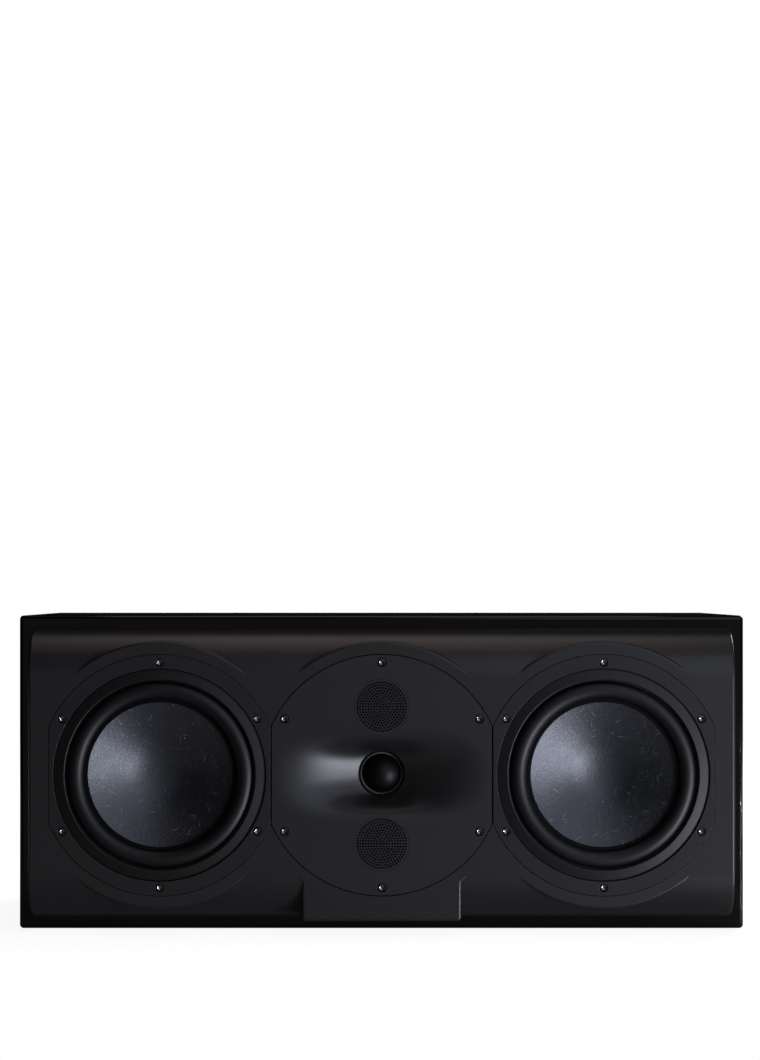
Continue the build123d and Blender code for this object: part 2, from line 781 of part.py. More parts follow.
# The three small motors share their sizes, so like pieces are made together
dome_coil_radius = dome_radius - dome_coil_thickness
dome_cup_radius = dome_radius + dome_air_gap
dome_plate_radius = dome_coil_radius - dome_air_gap
dome_magnet_depth = dome_plate_depth + dome_plate_thickness
dome_cup_depth = dome_magnet_depth + dome_magnet_height
with BuildPart() as dome_coils:
    for z, rim_depth in dome_places.values():
        with BuildSketch(facing_front(0, rim_depth + dome_thickness, z)):
            Circle(dome_radius)
            Circle(dome_coil_radius, mode=Mode.SUBTRACT)
        extrude(amount=-dome_coil_height)
write(dome_coils, "dome_voice_coils")

with BuildPart() as dome_plates:
    for z, rim_depth in dome_places.values():
        with BuildSketch(facing_front(0, rim_depth + dome_plate_depth, z)):
            Circle(dome_plate_radius)
        extrude(amount=-dome_plate_thickness)
write(dome_plates, "dome_pole_plates")

with BuildPart() as dome_magnets:
    for z, rim_depth in dome_places.values():
        with BuildSketch(facing_front(0, rim_depth + dome_magnet_depth, z)):
            Circle(dome_magnet_radius)
        extrude(amount=-dome_magnet_height)
write(dome_magnets, "dome_magnets")

with BuildPart() as dome_cups:
    for z, rim_depth in dome_places.values():
        with BuildSketch(facing_front(0, rim_depth + dome_thickness, z)):
            Circle(dome_rim_radius)
        extrude(amount=-(dome_cup_depth - dome_thickness + dome_cup_floor))
        with BuildSketch(facing_front(0, rim_depth + dome_thickness, z)):
            Circle(dome_cup_radius)
        extrude(amount=-(dome_cup_depth - dome_thickness), mode=Mode.SUBTRACT)
write(dome_cups, "dome_yoke_cups")

# Ports: flared tubes whose flanges lie on the rear panel, flush with the cabinet's rear edge
flare_edge = port_bore_radius + port_flare_radius
flare_corner = math.sqrt(0.5)
for side, x in (("left", -port_spacing / 2), ("right", port_spacing / 2)):
    with BuildPart() as port:
        with BuildSketch(Plane(origin=(x, rear_y, center_z), x_dir=(1, 0, 0), z_dir=(0, 0, -1))):
            with BuildLine():
                Polyline(
                    (flare_edge, 0),
                    (flare_edge + port_flange_width, 0),
                    (flare_edge + port_flange_width, rear_panel_inset),
                    (port_neck_radius, rear_panel_inset),
                    (port_bore_radius + port_wall, port_flare_radius + port_wall),
                    (port_bore_radius + port_wall, port_length),
                    (port_bore_radius, port_length),
                    (port_bore_radius, port_flare_radius),
                )
                ThreePointArc(
                    (port_bore_radius, port_flare_radius),
                    (
                        flare_edge - port_flare_radius * flare_corner,
                        port_flare_radius - port_flare_radius * flare_corner,
                    ),
                    (flare_edge, 0),
                )
            make_face()
        revolve(axis=turning_axis(x))
    write(port, f"{side}_port")

# Terminal cup: a moulded recess with a flat border, screwed to the rear panel
cup_floor_y = rear_y - cup_depth
post_points = [(-post_spacing / 2, 0), (post_spacing / 2, 0)]
with BuildPart() as terminal_cup:
    with BuildSketch(facing_front(0, total_depth)):
        RectangleRounded(
            cup_width + 2 * cup_border,
            cup_height + 2 * cup_border,
            cup_corner_radius + cup_border / 2,
        )
    extrude(amount=rear_panel_inset)
    with BuildSketch(facing_front(0, total_depth)):
        RectangleRounded(cup_width, cup_height, cup_corner_radius)
    extrude(amount=cup_depth + cup_wall)
    with BuildSketch(facing_front(0, total_depth)):
        RectangleRounded(cup_width - 2 * cup_wall, cup_height - 2 * cup_wall, cup_corner_radius - cup_wall)
    extrude(amount=cup_depth, mode=Mode.SUBTRACT)
    with BuildSketch(facing_front(0, total_depth)):
        with Locations(*post_points):
            Circle(post_radius + nut_clearance)
        with Locations(*cup_screw_points):
            Circle(cup_screw_radius + pilot_clearance)
    extrude(amount=cup_depth + cup_wall, mode=Mode.SUBTRACT)
    with BuildSketch(facing_front(0, total_depth)):
        with Locations(*cup_screw_points):
            Circle(cup_screw_head_radius + counterbore_clearance)
    extrude(amount=cup_screw_head_height, mode=Mode.SUBTRACT)
write(terminal_cup, "terminal_cup")

with BuildPart() as cup_screws:
    with BuildSketch(facing_front(0, total_depth)):
        with Locations(*cup_screw_points):
            Circle(cup_screw_head_radius)
    extrude(amount=cup_screw_head_height)
    with BuildSketch(facing_front(0, total_depth - cup_screw_head_height)):
        with Locations(*cup_screw_points):
            Circle(cup_screw_radius)
    extrude(amount=cup_screw_length - cup_screw_head_height)
write(cup_screws, "terminal_cup_screws")

# Binding posts: a collared stem with a plug socket, a captive washer and a fluted knob that screws out
nut_y = cup_floor_y - cup_wall - board_thickness
stem_root_y = nut_y - nut_height
collar_y = cup_floor_y + post_collar_height
washer_y = collar_y + washer_thickness
for name, x in (("negative", -post_spacing / 2), ("positive", post_spacing / 2)):
    with BuildPart() as post:
        with BuildSketch(facing_rear(x, stem_root_y)):
            Circle(post_radius)
        extrude(amount=cup_floor_y + post_length - stem_root_y)
        with BuildSketch(facing_rear(x, cup_floor_y)):
            Circle(post_collar_radius)
        extrude(amount=post_collar_height)
        with BuildSketch(facing_rear(x, cup_floor_y + post_length)):
            Circle(socket_radius)
        extrude(amount=-socket_depth, mode=Mode.SUBTRACT)
    write(post, f"{name}_post")

    with BuildPart() as washer:
        with BuildSketch(facing_rear(x, collar_y)):
            Circle(washer_radius)
            Circle(post_radius + knob_clearance, mode=Mode.SUBTRACT)
        extrude(amount=washer_thickness)
    write(washer, f"{name}_washer")

    with BuildPart() as knob:
        with BuildSketch(facing_rear(x, washer_y)):
            Circle(knob_radius)
            with PolarLocations(knob_radius, knob_flutes):
                Circle(knob_flute_radius, mode=Mode.SUBTRACT)
            Circle(post_radius + knob_clearance, mode=Mode.SUBTRACT)
        extrude(amount=knob_length)
    write(knob, f"{name}_knob")

with BuildPart() as post_nuts:
    with BuildSketch(facing_rear(0, stem_root_y)):
        with Locations(*post_points):
            RegularPolygon(nut_radius, 6)
            Circle(post_radius + nut_clearance, mode=Mode.SUBTRACT)
    extrude(amount=nut_height)
write(post_nuts, "post_nuts")

# Crossover network: the board lies on the back of the cup and carries its parts on the other face
with BuildPart() as crossover_board:
    with BuildSketch(facing_rear(0, nut_y)):
        Rectangle(board_width, board_height)
        with Locations(*post_points):
            Circle(post_radius + board_hole_clearance, mode=Mode.SUBTRACT)
    extrude(amount=board_thickness)
write(crossover_board, "crossover_board")

with BuildPart() as inductors:
    with BuildSketch(facing_front(0, nut_y - front_y)):
        with Locations(*[(x, inductor_rise) for x in (-inductor_spacing, 0, inductor_spacing)]):
            Circle(inductor_radius)
            Circle(inductor_bore_radius, mode=Mode.SUBTRACT)
    extrude(amount=inductor_height)
write(inductors, "crossover_inductors")

capacitor_y = nut_y - capacitor_radius - glue_line
with BuildPart() as capacitors:
    for x in (-capacitor_spacing, 0, capacitor_spacing):
        capacitor_place = (x, capacitor_y, center_z - capacitor_drop)
        with BuildSketch(Plane(origin=capacitor_place, x_dir=(0, 1, 0), z_dir=(1, 0, 0))):
            Circle(capacitor_radius)
        extrude(amount=capacitor_length / 2, both=True)
write(capacitors, "crossover_capacitors")

with BuildPart() as resistors:
    with BuildSketch(facing_front(0, nut_y - front_y)):
        with Locations(*[(x, -resistor_drop) for x in (-resistor_spacing, 0, resistor_spacing)]):
            Rectangle(resistor_length, resistor_section)
    extrude(amount=resistor_section)
write(resistors, "crossover_resistors")
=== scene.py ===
import math

import bmesh
import bpy
import numpy as np
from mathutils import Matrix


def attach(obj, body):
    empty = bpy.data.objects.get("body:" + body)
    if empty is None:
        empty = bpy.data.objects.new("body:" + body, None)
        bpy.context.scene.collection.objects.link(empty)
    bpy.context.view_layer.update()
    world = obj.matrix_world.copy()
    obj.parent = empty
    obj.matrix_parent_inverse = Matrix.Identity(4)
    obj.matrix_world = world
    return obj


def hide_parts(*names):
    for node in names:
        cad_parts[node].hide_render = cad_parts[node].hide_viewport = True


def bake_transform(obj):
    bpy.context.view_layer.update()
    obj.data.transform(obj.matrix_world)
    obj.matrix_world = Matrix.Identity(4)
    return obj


# A center channel speaker: the looks of each piece, in the order in which the speaker is put together.
# X runs to the right seen from the front, the front faces -Y and Z is up. Sizes are in metres.
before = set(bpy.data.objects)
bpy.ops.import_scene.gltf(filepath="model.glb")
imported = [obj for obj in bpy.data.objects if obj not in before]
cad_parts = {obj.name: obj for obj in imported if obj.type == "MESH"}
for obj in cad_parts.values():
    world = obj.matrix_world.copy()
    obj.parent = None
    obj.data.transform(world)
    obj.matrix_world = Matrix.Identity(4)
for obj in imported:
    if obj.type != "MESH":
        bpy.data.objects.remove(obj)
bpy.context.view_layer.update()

# Cabinet shell
# Four mitred panels of wood board, filled and sanded at the joints and sprayed with black lacquer.
# The lacquer is polished to a mirror, so the four panels read as one shell with softly broken edges.
mm = 0.001
shell_half_width = 277.5 * mm
shell_half_height = 120 * mm
shell_wall = 18 * mm
shell_front_y = -112 * mm
shell_rear_y = 150 * mm
shell_corner_radius = 3 * mm
shell_edge_radius = 2.8 * mm
shell_flat_margin = 0.4 * mm
shell_edge_steps = 8
front_y = -150 * mm
axis_z = 122.5 * mm
lacquer_dark = (0.0020, 0.0020, 0.0020, 1)
lacquer_light = (0.0032, 0.0032, 0.0032, 1)


class Signal:
    """A value on its way through nodes, so that sums between nodes read as plain sums."""

    def __init__(self, wiring, socket):
        self.wiring = wiring
        self.socket = socket

    def __add__(self, other):
        return self.wiring.math("ADD", self, other)

    def __radd__(self, other):
        return self.wiring.math("ADD", other, self)

    def __sub__(self, other):
        return self.wiring.math("SUBTRACT", self, other)

    def __rsub__(self, other):
        return self.wiring.math("SUBTRACT", other, self)

    def __mul__(self, other):
        return self.wiring.math("MULTIPLY", self, other)

    def __rmul__(self, other):
        return self.wiring.math("MULTIPLY", other, self)

    def __truediv__(self, other):
        return self.wiring.math("DIVIDE", self, other)


class Wiring:
    """A node tree that is filled node by node."""

    def __init__(self, tree):
        self.tree = tree

    def node(self, kind, settings=None, sockets=None, output=0):
        made = self.tree.nodes.new(kind)
        for name, value in (settings or {}).items():
            setattr(made, name, value)
        self.wire(made, sockets or {})
        return Signal(self, made.outputs[output])

    def wire(self, made, sockets):
        for name, value in sockets.items():
            if isinstance(value, Signal):
                self.tree.links.new(value.socket, made.inputs[name])
            else:
                made.inputs[name].default_value = value

    def math(self, operation, first, second=0.0):
        return self.node("ShaderNodeMath", {"operation": operation}, {0: first, 1: second})

    def ramp(self, value, low, high):
        """0 below low, 1 above high and a smooth step between them."""
        sockets = {"Value": value, "From Min": low, "From Max": high}
        return self.node("ShaderNodeMapRange", {"interpolation_type": "SMOOTHSTEP"}, sockets)


class Finish(Wiring):
    """A material whose pattern follows the speaker's own coordinates."""

    def __init__(self, name):
        self.material = bpy.data.materials.new(name)
        self.material.use_nodes = True
        super().__init__(self.material.node_tree)
        self.shader = self.tree.nodes["Principled BSDF"]
        self.place = self.node("ShaderNodeTexCoord", output="Object")

    def laid(self, rotation, size):
        """Coordinates of a pattern whose grain has that length, width and depth and lies at that angle."""
        sockets = {"Vector": self.place, "Rotation": rotation, "Scale": size}
        return self.node("ShaderNodeMapping", {"vector_type": "TEXTURE"}, sockets)

    def noise(self, size, detail=2.0, place=None):
        sockets = {"Vector": place or self.place, "Scale": 1 / size, "Detail": detail}
        return self.node("ShaderNodeTexNoise", {}, sockets)

    def weave(self, scale):
        """Threads that cross one another, seen from the front."""
        run, fill = (
            self.node("ShaderNodeTexWave", {"bands_direction": axis}, {"Vector": self.place, "Scale": scale})
            for axis in ("X", "Z")
        )
        return run * fill

    def tint(self, factor, first, second):
        return self.node("ShaderNodeMix", {"data_type": "RGBA"}, {0: factor, 6: first, 7: second}, 2)

    def bump(self, height, depth, edge=0.0):
        """Fine relief, on faces whose edges are broken to that radius."""
        sockets = {"Height": height, "Distance": depth}
        if edge:
            sockets["Normal"] = self.node("ShaderNodeBevel", {"samples": 6}, {"Radius": edge})
        return self.node("ShaderNodeBump", {}, sockets)

    def set(self, sockets):
        self.wire(self.shader, sockets)


def grained_finish(name, dark, light, sheen, grain, depth, gloss=0.5, metallic=0.0, edge=0.0):
    """A finish with a slow change of tone, a fine grain and a sheen that is not quite even."""
    finish = Finish(name)
    cloud = finish.noise(60 * mm, 3.0)
    fine = finish.noise(grain, 3.0)
    finish.set(
        {
            "Base Color": finish.tint(cloud * 0.6 + fine * 0.4, dark, light),
            "Roughness": sheen[0] + fine * (sheen[1] - sheen[0]),
            "Normal": finish.bump(fine, depth, edge),
            "Specular IOR Level": gloss,
            "Metallic": metallic,
        }
    )
    return finish


def walled(skin, loops, joined=False):
    """Walls from each loop of points to the next one. All loops have as many points."""
    rows = [[skin.verts.new(point) for point in loop] for loop in loops]
    followers = rows[1:] + rows[:1] if joined else rows[1:]
    for below, above in zip(rows, followers):
        for column in range(len(below)):
            after = (column + 1) % len(below)
            skin.faces.new((below[column], below[after], above[after], above[column]))
    return rows


def capped(skin, loops):
    """Walls over loops of points, with a face at each end."""
    rows = walled(skin, loops)
    skin.faces.new(rows[0])
    skin.faces.new(rows[-1])


def sealed(skin, name, crease=32):
    """The finished piece from a skin: one closed surface that faces outwards."""
    bmesh.ops.remove_doubles(skin, verts=skin.verts, dist=1e-7)
    bmesh.ops.dissolve_degenerate(skin, edges=skin.edges, dist=1e-8)
    loose = [edge for edge in skin.edges if not edge.link_faces]
    bmesh.ops.delete(skin, geom=loose, context="EDGES")
    bmesh.ops.recalc_face_normals(skin, faces=skin.faces)
    mesh = bpy.data.meshes.new(name)
    skin.to_mesh(mesh)
    skin.free()
    return shown(name, mesh, crease)


def skinned(name, loops, joined=False, crease=32):
    """A piece over loops of points. Its ends are closed by a face each, or joined to one another."""
    skin = bmesh.new()
    if joined:
        walled(skin, loops, joined)
    else:
        capped(skin, loops)
    return sealed(skin, name, crease)


def shown(name, mesh, crease=32):
    """An object for a mesh, shaded smooth except at its creases."""
    mesh.shade_smooth()
    mesh.set_sharp_from_angle(angle=math.radians(crease))
    piece = bpy.data.objects.new(name, mesh)
    bpy.context.scene.collection.objects.link(piece)
    return piece


def fitted(piece, finish, body, slot, *nodes):
    """Gives a piece its finish and its body, and lets it stand for its CAD nodes."""
    piece.data.materials.clear()
    piece.data.materials.append(finish.material)
    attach(piece, body)
    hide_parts(*nodes)
    return piece


def rounded_outline(half_width, half_height, radius, y, steps=8):
    corners = ((1, 1), (-1, 1), (-1, -1), (1, -1))
    outline = []
    for quarter, (side, rise) in enumerate(corners):
        for step in range(steps + 1):
            angle = (quarter + step / steps) * math.pi / 2
            across = side * (half_width - radius) + radius * math.cos(angle)
            up = rise * (half_height - radius) + radius * math.sin(angle)
            outline.append((across, y, axis_z + up))
    return outline


def eased(radius, steps):
    """Inset and depth at each step of an edge that is rounded to a radius."""
    turns = np.linspace(0, math.pi / 2, steps + 1)
    return [(radius * (1 - math.sin(turn)), radius * (1 - math.cos(turn))) for turn in turns]


def shell_loop(inset, y):
    corner = max(shell_corner_radius - inset, shell_corner_radius - shell_edge_radius)
    return rounded_outline(shell_half_width - inset, shell_half_height - inset, corner, y)


edge_rows = eased(shell_edge_radius, shell_edge_steps)
flat_end = shell_edge_radius + shell_flat_margin
shell_loops = [shell_loop(shell_wall, shell_front_y), shell_loop(flat_end, shell_front_y)]
shell_loops += [shell_loop(inset, shell_front_y + back) for inset, back in edge_rows]
shell_loops += [shell_loop(0, shell_front_y + flat_end), shell_loop(0, shell_rear_y - flat_end)]
shell_loops += [shell_loop(inset, shell_rear_y - back) for inset, back in reversed(edge_rows)]
shell_loops += [shell_loop(flat_end, shell_rear_y), shell_loop(shell_wall, shell_rear_y)]
lacquer = Finish("gloss lacquer")
lacquer_cloud = lacquer.noise(90 * mm, 2.0)
lacquer_haze = lacquer.noise(14 * mm, 4.0)
lacquer.set(
    {
        "Base Color": lacquer.tint(lacquer_cloud, lacquer_dark, lacquer_light),
        "Roughness": 0.07 + lacquer_haze * 0.05,
        "Normal": lacquer.bump(lacquer.noise(5 * mm, 1.0), 0.002 * mm),
        "Specular IOR Level": 0.32,
    }
)
fitted(
    skinned("cabinet_shell", shell_loops, joined=True),
    lacquer,
    "cabinet",
    "gloss_lacquer",
    "top_panel",
    "bottom_panel",
    "left_panel",
    "right_panel",
)

# Rear panel, braces and lining
# The rear panel is let in between the panels and rolled with a dry black paint that leaves a fine stipple.
# The window braces are bare fibre board, and thick grey felt is stapled inside the woofer bays.
stipple = grained_finish(
    "rolled rear paint", (0.010, 0.010, 0.0105, 1), (0.019, 0.019, 0.0195, 1), (0.50, 0.72),
    1.1 * mm, 0.16 * mm, 0.35,
)
bare_board = grained_finish(
    "bare fibre board", (0.30, 0.19, 0.10, 1), (0.47, 0.33, 0.20, 1), (0.75, 0.95), 0.8 * mm,
    0.08 * mm, 0.2,
)
felt = Finish("grey felt")
felt_hairs = felt.noise(1.0, 4.0, felt.laid((0.4, 0.2, 0.7), (1.1 * mm, 4.0 * mm, 1.6 * mm)))
felt.set(
    {
        "Base Color": felt.tint(felt_hairs, (0.07, 0.07, 0.075, 1), (0.24, 0.24, 0.25, 1)),
        "Roughness": 0.85 + felt_hairs * 0.15,
        "Normal": felt.bump(felt_hairs, 0.5 * mm),
        "Specular IOR Level": 0.1,
    }
)


def repaint(finish, *names):
    """Paints CAD nodes that keep their own shape."""
    for name in names:
        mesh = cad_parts[name].data
        mesh.materials.clear()
        mesh.materials.append(finish.material)


repaint(stipple, "rear_panel")
repaint(bare_board, "left_brace", "right_brace")
repaint(felt, "damping_felt")

# Rubber feet
# Four low turned pads of black rubber, glued under the corners.
# A small edge radius keeps them from marking the shelf.
foot_radius = 11 * mm
foot_height = 2.5 * mm
foot_edge = 0.6 * mm
foot_span_x = 459 * mm
foot_span_y = 172 * mm
foot_middle_y = 19 * mm
foot_sides = 64
half_turn = 0.3


class Pattern(Wiring):
    """A Geometry Nodes tree with named sizes, which ends in one plain mesh."""

    def __init__(self, name):
        super().__init__(bpy.data.node_groups.new(name, "GeometryNodeTree"))
        self.entry = self.tree.nodes.new("NodeGroupInput")
        self.exit = self.tree.nodes.new("NodeGroupOutput")
        self.tree.interface.new_socket("Shape", in_out="OUTPUT", socket_type="NodeSocketGeometry")
        self.identifiers = {}

    def size(self, name, kind="NodeSocketFloat"):
        made = self.tree.interface.new_socket(name, in_out="INPUT", socket_type=kind)
        self.identifiers[name] = made.identifier
        return Signal(self, self.entry.outputs[name])

    def vector(self, x, y, z):
        return self.node("ShaderNodeCombineXYZ", {}, {"X": x, "Y": y, "Z": z})

    def joined(self, *shapes):
        made = self.tree.nodes.new("GeometryNodeJoinGeometry")
        for shape in reversed(shapes):
            self.tree.links.new(shape.socket, made.inputs[0])
        return Signal(self, made.outputs[0])

    def close(self, shape, finish):
        real = self.node("GeometryNodeRealizeInstances", {}, {"Geometry": shape})
        painted = self.node("GeometryNodeSetMaterial", {}, {"Geometry": real, "Material": finish.material})
        self.wire(self.exit, {"Shape": painted})


def grown(name, pattern, sizes, crease=32):
    """The plain mesh that a pattern makes with these sizes."""
    holder = bpy.data.objects.new(name, bpy.data.meshes.new(name))
    bpy.context.scene.collection.objects.link(holder)
    growth = holder.modifiers.new("pattern", "NODES")
    growth.node_group = pattern.tree
    for label, value in sizes.items():
        growth[pattern.identifiers[label]] = value
    result = bpy.data.meshes.new_from_object(holder.evaluated_get(bpy.context.evaluated_depsgraph_get()))
    holder.modifiers.remove(growth)
    bpy.data.objects.remove(holder)
    return shown(name, result, crease)


def ring(radius, depth, x=0.0, z=axis_z, steps=192):
    """A circle of points about a driver's axis, at a depth behind the front."""
    angles = np.arange(steps) * 2 * math.pi / steps
    across = x + radius * np.cos(angles)
    return np.stack([across, np.full(steps, front_y + depth), z + radius * np.sin(angles)], 1)


def foot_ring(radius, z):
    """A circle of points about a foot's axis."""
    angles = np.arange(foot_sides) * 2 * math.pi / foot_sides
    return np.stack([radius * np.cos(angles), radius * np.sin(angles), np.full(foot_sides, z)], 1)


foot_rubber = grained_finish(
    "foot rubber", (0.010, 0.010, 0.010, 1), (0.022, 0.022, 0.022, 1), (0.6, 0.8), 0.6 * mm,
    0.05 * mm, 0.3,
)
foot_loops = [
    foot_ring(foot_radius - foot_edge, 0),
    foot_ring(foot_radius - half_turn * foot_edge, half_turn * foot_edge),
    foot_ring(foot_radius, foot_edge),
    foot_ring(foot_radius, foot_height),
]
foot_model = skinned("foot_model", foot_loops)
foot_pattern = Pattern("feet on a rectangle")
foot_corners = foot_pattern.node(
    "GeometryNodeMeshGrid",
    {},
    {
        "Size X": foot_pattern.size("Span across"),
        "Size Y": foot_pattern.size("Span deep"),
        "Vertices X": 2,
        "Vertices Y": 2,
    },
)
foot_places = foot_pattern.node(
    "GeometryNodeTransform",
    {},
    {"Geometry": foot_corners, "Translation": foot_pattern.vector(0.0, foot_pattern.size("Middle"), 0.0)},
)
foot_source = foot_pattern.node("GeometryNodeObjectInfo", {}, {"Object": foot_model}, "Geometry")
foot_copies = foot_pattern.node(
    "GeometryNodeInstanceOnPoints", {}, {"Points": foot_places, "Instance": foot_source}
)
foot_pattern.close(foot_copies, foot_rubber)
foot_sizes = {"Span across": foot_span_x, "Span deep": foot_span_y, "Middle": foot_middle_y}
fitted(grown("feet", foot_pattern, foot_sizes), foot_rubber, "cabinet", "foot_rubber", "rubber_feet")
bpy.data.objects.remove(foot_model)

# Front baffle
# A thick slab of fibre board, milled so that its long edges roll back to the cabinet.
# Round pads and a middle plinth with eased edges stay level with its front. It is sprayed satin black and
# set on a tongue. Each driver drops into a pocket, with pilot holes for its screws.
sides = {"left": -167.3 * mm, "right": 167.3 * mm}
driver_places = (sides["left"], 0.0, sides["right"])
baffle_half_width = 266.5 * mm
baffle_half_height = 110 * mm
baffle_thickness = 38 * mm
baffle_roll = 37 * mm
baffle_roll_steps = 24
baffle_end_radius = 2 * mm
pad_radius = 100.9 * mm
pad_depth = 36 * mm
plinth_half_width = 60 * mm
plinth_half_height = 35 * mm
plinth_corner = 2.6 * mm
plinth_rear = 37.5 * mm
eased_radius = 2.0 * mm
eased_steps = 6
eased_lie = 0.01 * mm
tongue_half_width = 259 * mm
tongue_half_height = 101.5 * mm
tongue_depth = 6 * mm
tongue_corner = 0.5 * mm
pocket_radius = 91.4 * mm
pocket_half_width = 83.75 * mm
pocket_depth = 10 * mm
cutout_radius = 77 * mm
screw_circle = 84.9 * mm
screws_in_ring = 6
pilot_radius = 2.05 * mm
pilot_depth = 26.9 * mm
pilot_sides = 16
round_sides = 360
satin_dark = (0.0128, 0.0122, 0.0122, 1)
satin_light = (0.0152, 0.0146, 0.0146, 1)
satin = grained_finish(
    "satin baffle paint", satin_dark, satin_light, (0.34, 0.40), 0.7 * mm, 0.004 * mm, 0.5
)
roll_start = baffle_half_height - baffle_roll
quarter_turn = np.linspace(0, math.pi / 2, baffle_roll_steps + 1)


def slab_loop(x, inset):
    """The rolled section at one place along the board."""
    radius = baffle_roll - inset
    back = front_y + baffle_roll - radius * np.cos(quarter_turn)
    rise = roll_start + radius * np.sin(quarter_turn)
    rear = front_y + baffle_thickness
    loop = [(x, y, axis_z + z) for y, z in zip(back[::-1], rise[::-1])]
    loop += [(x, y, axis_z - z) for y, z in zip(back, rise)]
    return loop + [(x, rear, axis_z - rise[-1]), (x, rear, axis_z + rise[-1])]


def flat_sided(radius, half_width, depth, x=0.0):
    """A circle with two flat sides, at a depth behind the front."""
    loop = ring(radius, depth, steps=round_sides)
    loop[:, 0] = x + np.clip(loop[:, 0], -half_width, half_width)
    return loop


def screw_places(x):
    """Where a driver's screws stand."""
    angles = math.pi / 2 + np.arange(screws_in_ring) * 2 * math.pi / screws_in_ring
    across = x + screw_circle * np.cos(angles)
    return list(zip(across, axis_z + screw_circle * np.sin(angles)))


def carved(piece, tool, operation, crease=32):
    """The piece joined with a tool's shape, or without the space that the tool takes."""
    name = piece.name
    carving = piece.modifiers.new("carving", "BOOLEAN")
    carving.operation = operation
    carving.solver = "EXACT"
    carving.object = tool
    result = bpy.data.meshes.new_from_object(piece.evaluated_get(bpy.context.evaluated_depsgraph_get()))
    bpy.data.objects.remove(piece)
    bpy.data.objects.remove(tool)
    return shown(name, result, crease)


def roll_normal(place):
    """How far a place lies from the axis of the roll that it is on, and the way the roll faces there."""
    up = abs(place.z - axis_z) - roll_start
    forward = front_y + baffle_roll - place.y
    reach = math.hypot(up, forward)
    return up, reach, (0.0, -forward / reach, math.copysign(up / reach, place.z - axis_z))


baffle_ends = [(baffle_half_width - end, inset) for end, inset in eased(baffle_end_radius, eased_steps)]
slab_loops = [slab_loop(-x, inset) for x, inset in reversed(baffle_ends)]
slab_loops += [slab_loop(x, inset) for x, inset in baffle_ends]
baffle = skinned("baffle_board", slab_loops)
tongue_ends = (front_y + baffle_roll, front_y + baffle_thickness + tongue_depth)
tongue_loops = [
    rounded_outline(tongue_half_width, tongue_half_height, tongue_corner, y) for y in tongue_ends
]
baffle = carved(baffle, skinned("tongue", tongue_loops), "UNION")
eased_rows = [(inset, eased_lie + depth) for inset, depth in eased(eased_radius, eased_steps)]
pad_rows = eased_rows + [(0.0, pad_depth)]
pad_reach = baffle_half_width - 1.1 * baffle_end_radius
for x in driver_places:
    pad_loops = [ring(pad_radius - inset, depth, x, steps=round_sides) for inset, depth in pad_rows]
    pad_loops = [np.clip(loop, (-pad_reach, -1, -1), (pad_reach, 1, 1)) for loop in pad_loops]
    baffle = carved(baffle, skinned("pad", pad_loops), "UNION")
plinth_drop = (0.0, 0.0, plinth_half_height - baffle_half_height + 2 * eased_lie)
plinth_loops = []
for inset, depth in (*eased_rows, (0.0, plinth_rear)):
    outline = rounded_outline(
        plinth_half_width - inset, plinth_half_height - inset, plinth_corner - inset, front_y + depth
    )
    plinth_loops.append(np.array(outline) + plinth_drop)
baffle = carved(baffle, skinned("plinth", plinth_loops), "UNION")
past_rear = baffle_thickness + tongue_depth + mm
cutout_ends = (pocket_depth, past_rear)
pilot_ends = (pocket_depth - mm, pilot_depth)
for x in driver_places:
    hollow = bmesh.new()
    pocket_loops = [flat_sided(pocket_radius, pocket_half_width, depth, x) for depth in (-mm, pocket_depth)]
    pocket_loops += [ring(cutout_radius, depth, x, steps=round_sides) for depth in cutout_ends]
    capped(hollow, pocket_loops)
    for place in screw_places(x):
        capped(hollow, [ring(pilot_radius, depth, *place, pilot_sides) for depth in pilot_ends])
    baffle = carved(baffle, sealed(hollow, "driver_hollow"), "DIFFERENCE", 28)
facing = np.array([corner.vector for corner in baffle.data.corner_normals])
for facet in baffle.data.polygons:
    up, reach, aim = roll_normal(facet.center)
    if facet.normal.y < -0.9999:
        facing[facet.loop_indices] = facet.normal
    if up > 0 and abs(reach - baffle_roll) < 0.1 * mm and facet.normal.dot(aim) > 0.99:
        for corner in facet.loop_indices:
            point = baffle.data.vertices[baffle.data.loops[corner].vertex_index]
            facing[corner] = roll_normal(point.co)[2]
baffle.data.normals_split_custom_set(facing)
fitted(baffle, satin, "cabinet", "satin_paint", "front_baffle")

# Woofer baskets
# Die cast aluminium with a flange that is cut flat where it meets its neighbour, powder coated satin black.
# Each is let flush into the baffle on a foam gasket and held by six screws.
powder_coat = grained_finish(
    "powder coat", (0.0122, 0.0117, 0.0117, 1), (0.0147, 0.0141, 0.0141, 1), (0.36, 0.42), 0.5 * mm,
    0.004 * mm, 0.42, edge=0.6 * mm,
)
gasket_foam = grained_finish(
    "gasket foam", (0.012, 0.012, 0.012, 1), (0.030, 0.030, 0.030, 1), (0.8, 1.0), 0.4 * mm,
    0.1 * mm, 0.1,
)
for side in sides:
    repaint(powder_coat, f"{side}_woofer_basket")
    repaint(gasket_foam, f"{side}_woofer_gasket")

# Woofer trim rings
# A turned ring of moulded plastic that drops into the flange and clamps the surround's lip.
# Its face slopes outwards from a fine rounded crest.
trim_outer_radius = 80.0 * mm
trim_inner_radius = 71.6 * mm
trim_seat_depth = 6.0 * mm
trim_outer_depth = 1.7 * mm
trim_outer_edge = 0.3 * mm
trim_crest_depth = 0.2 * mm
trim_crest_width = 0.9 * mm
trim_crest_steps = 8


def turned(name, profile, x=0.0, z=axis_z, joined=True, crease=32):
    """A piece turned about a driver's axis from profile points of radius and depth."""
    return skinned(name, [ring(radius, depth, x, z) for radius, depth in profile], joined, crease)


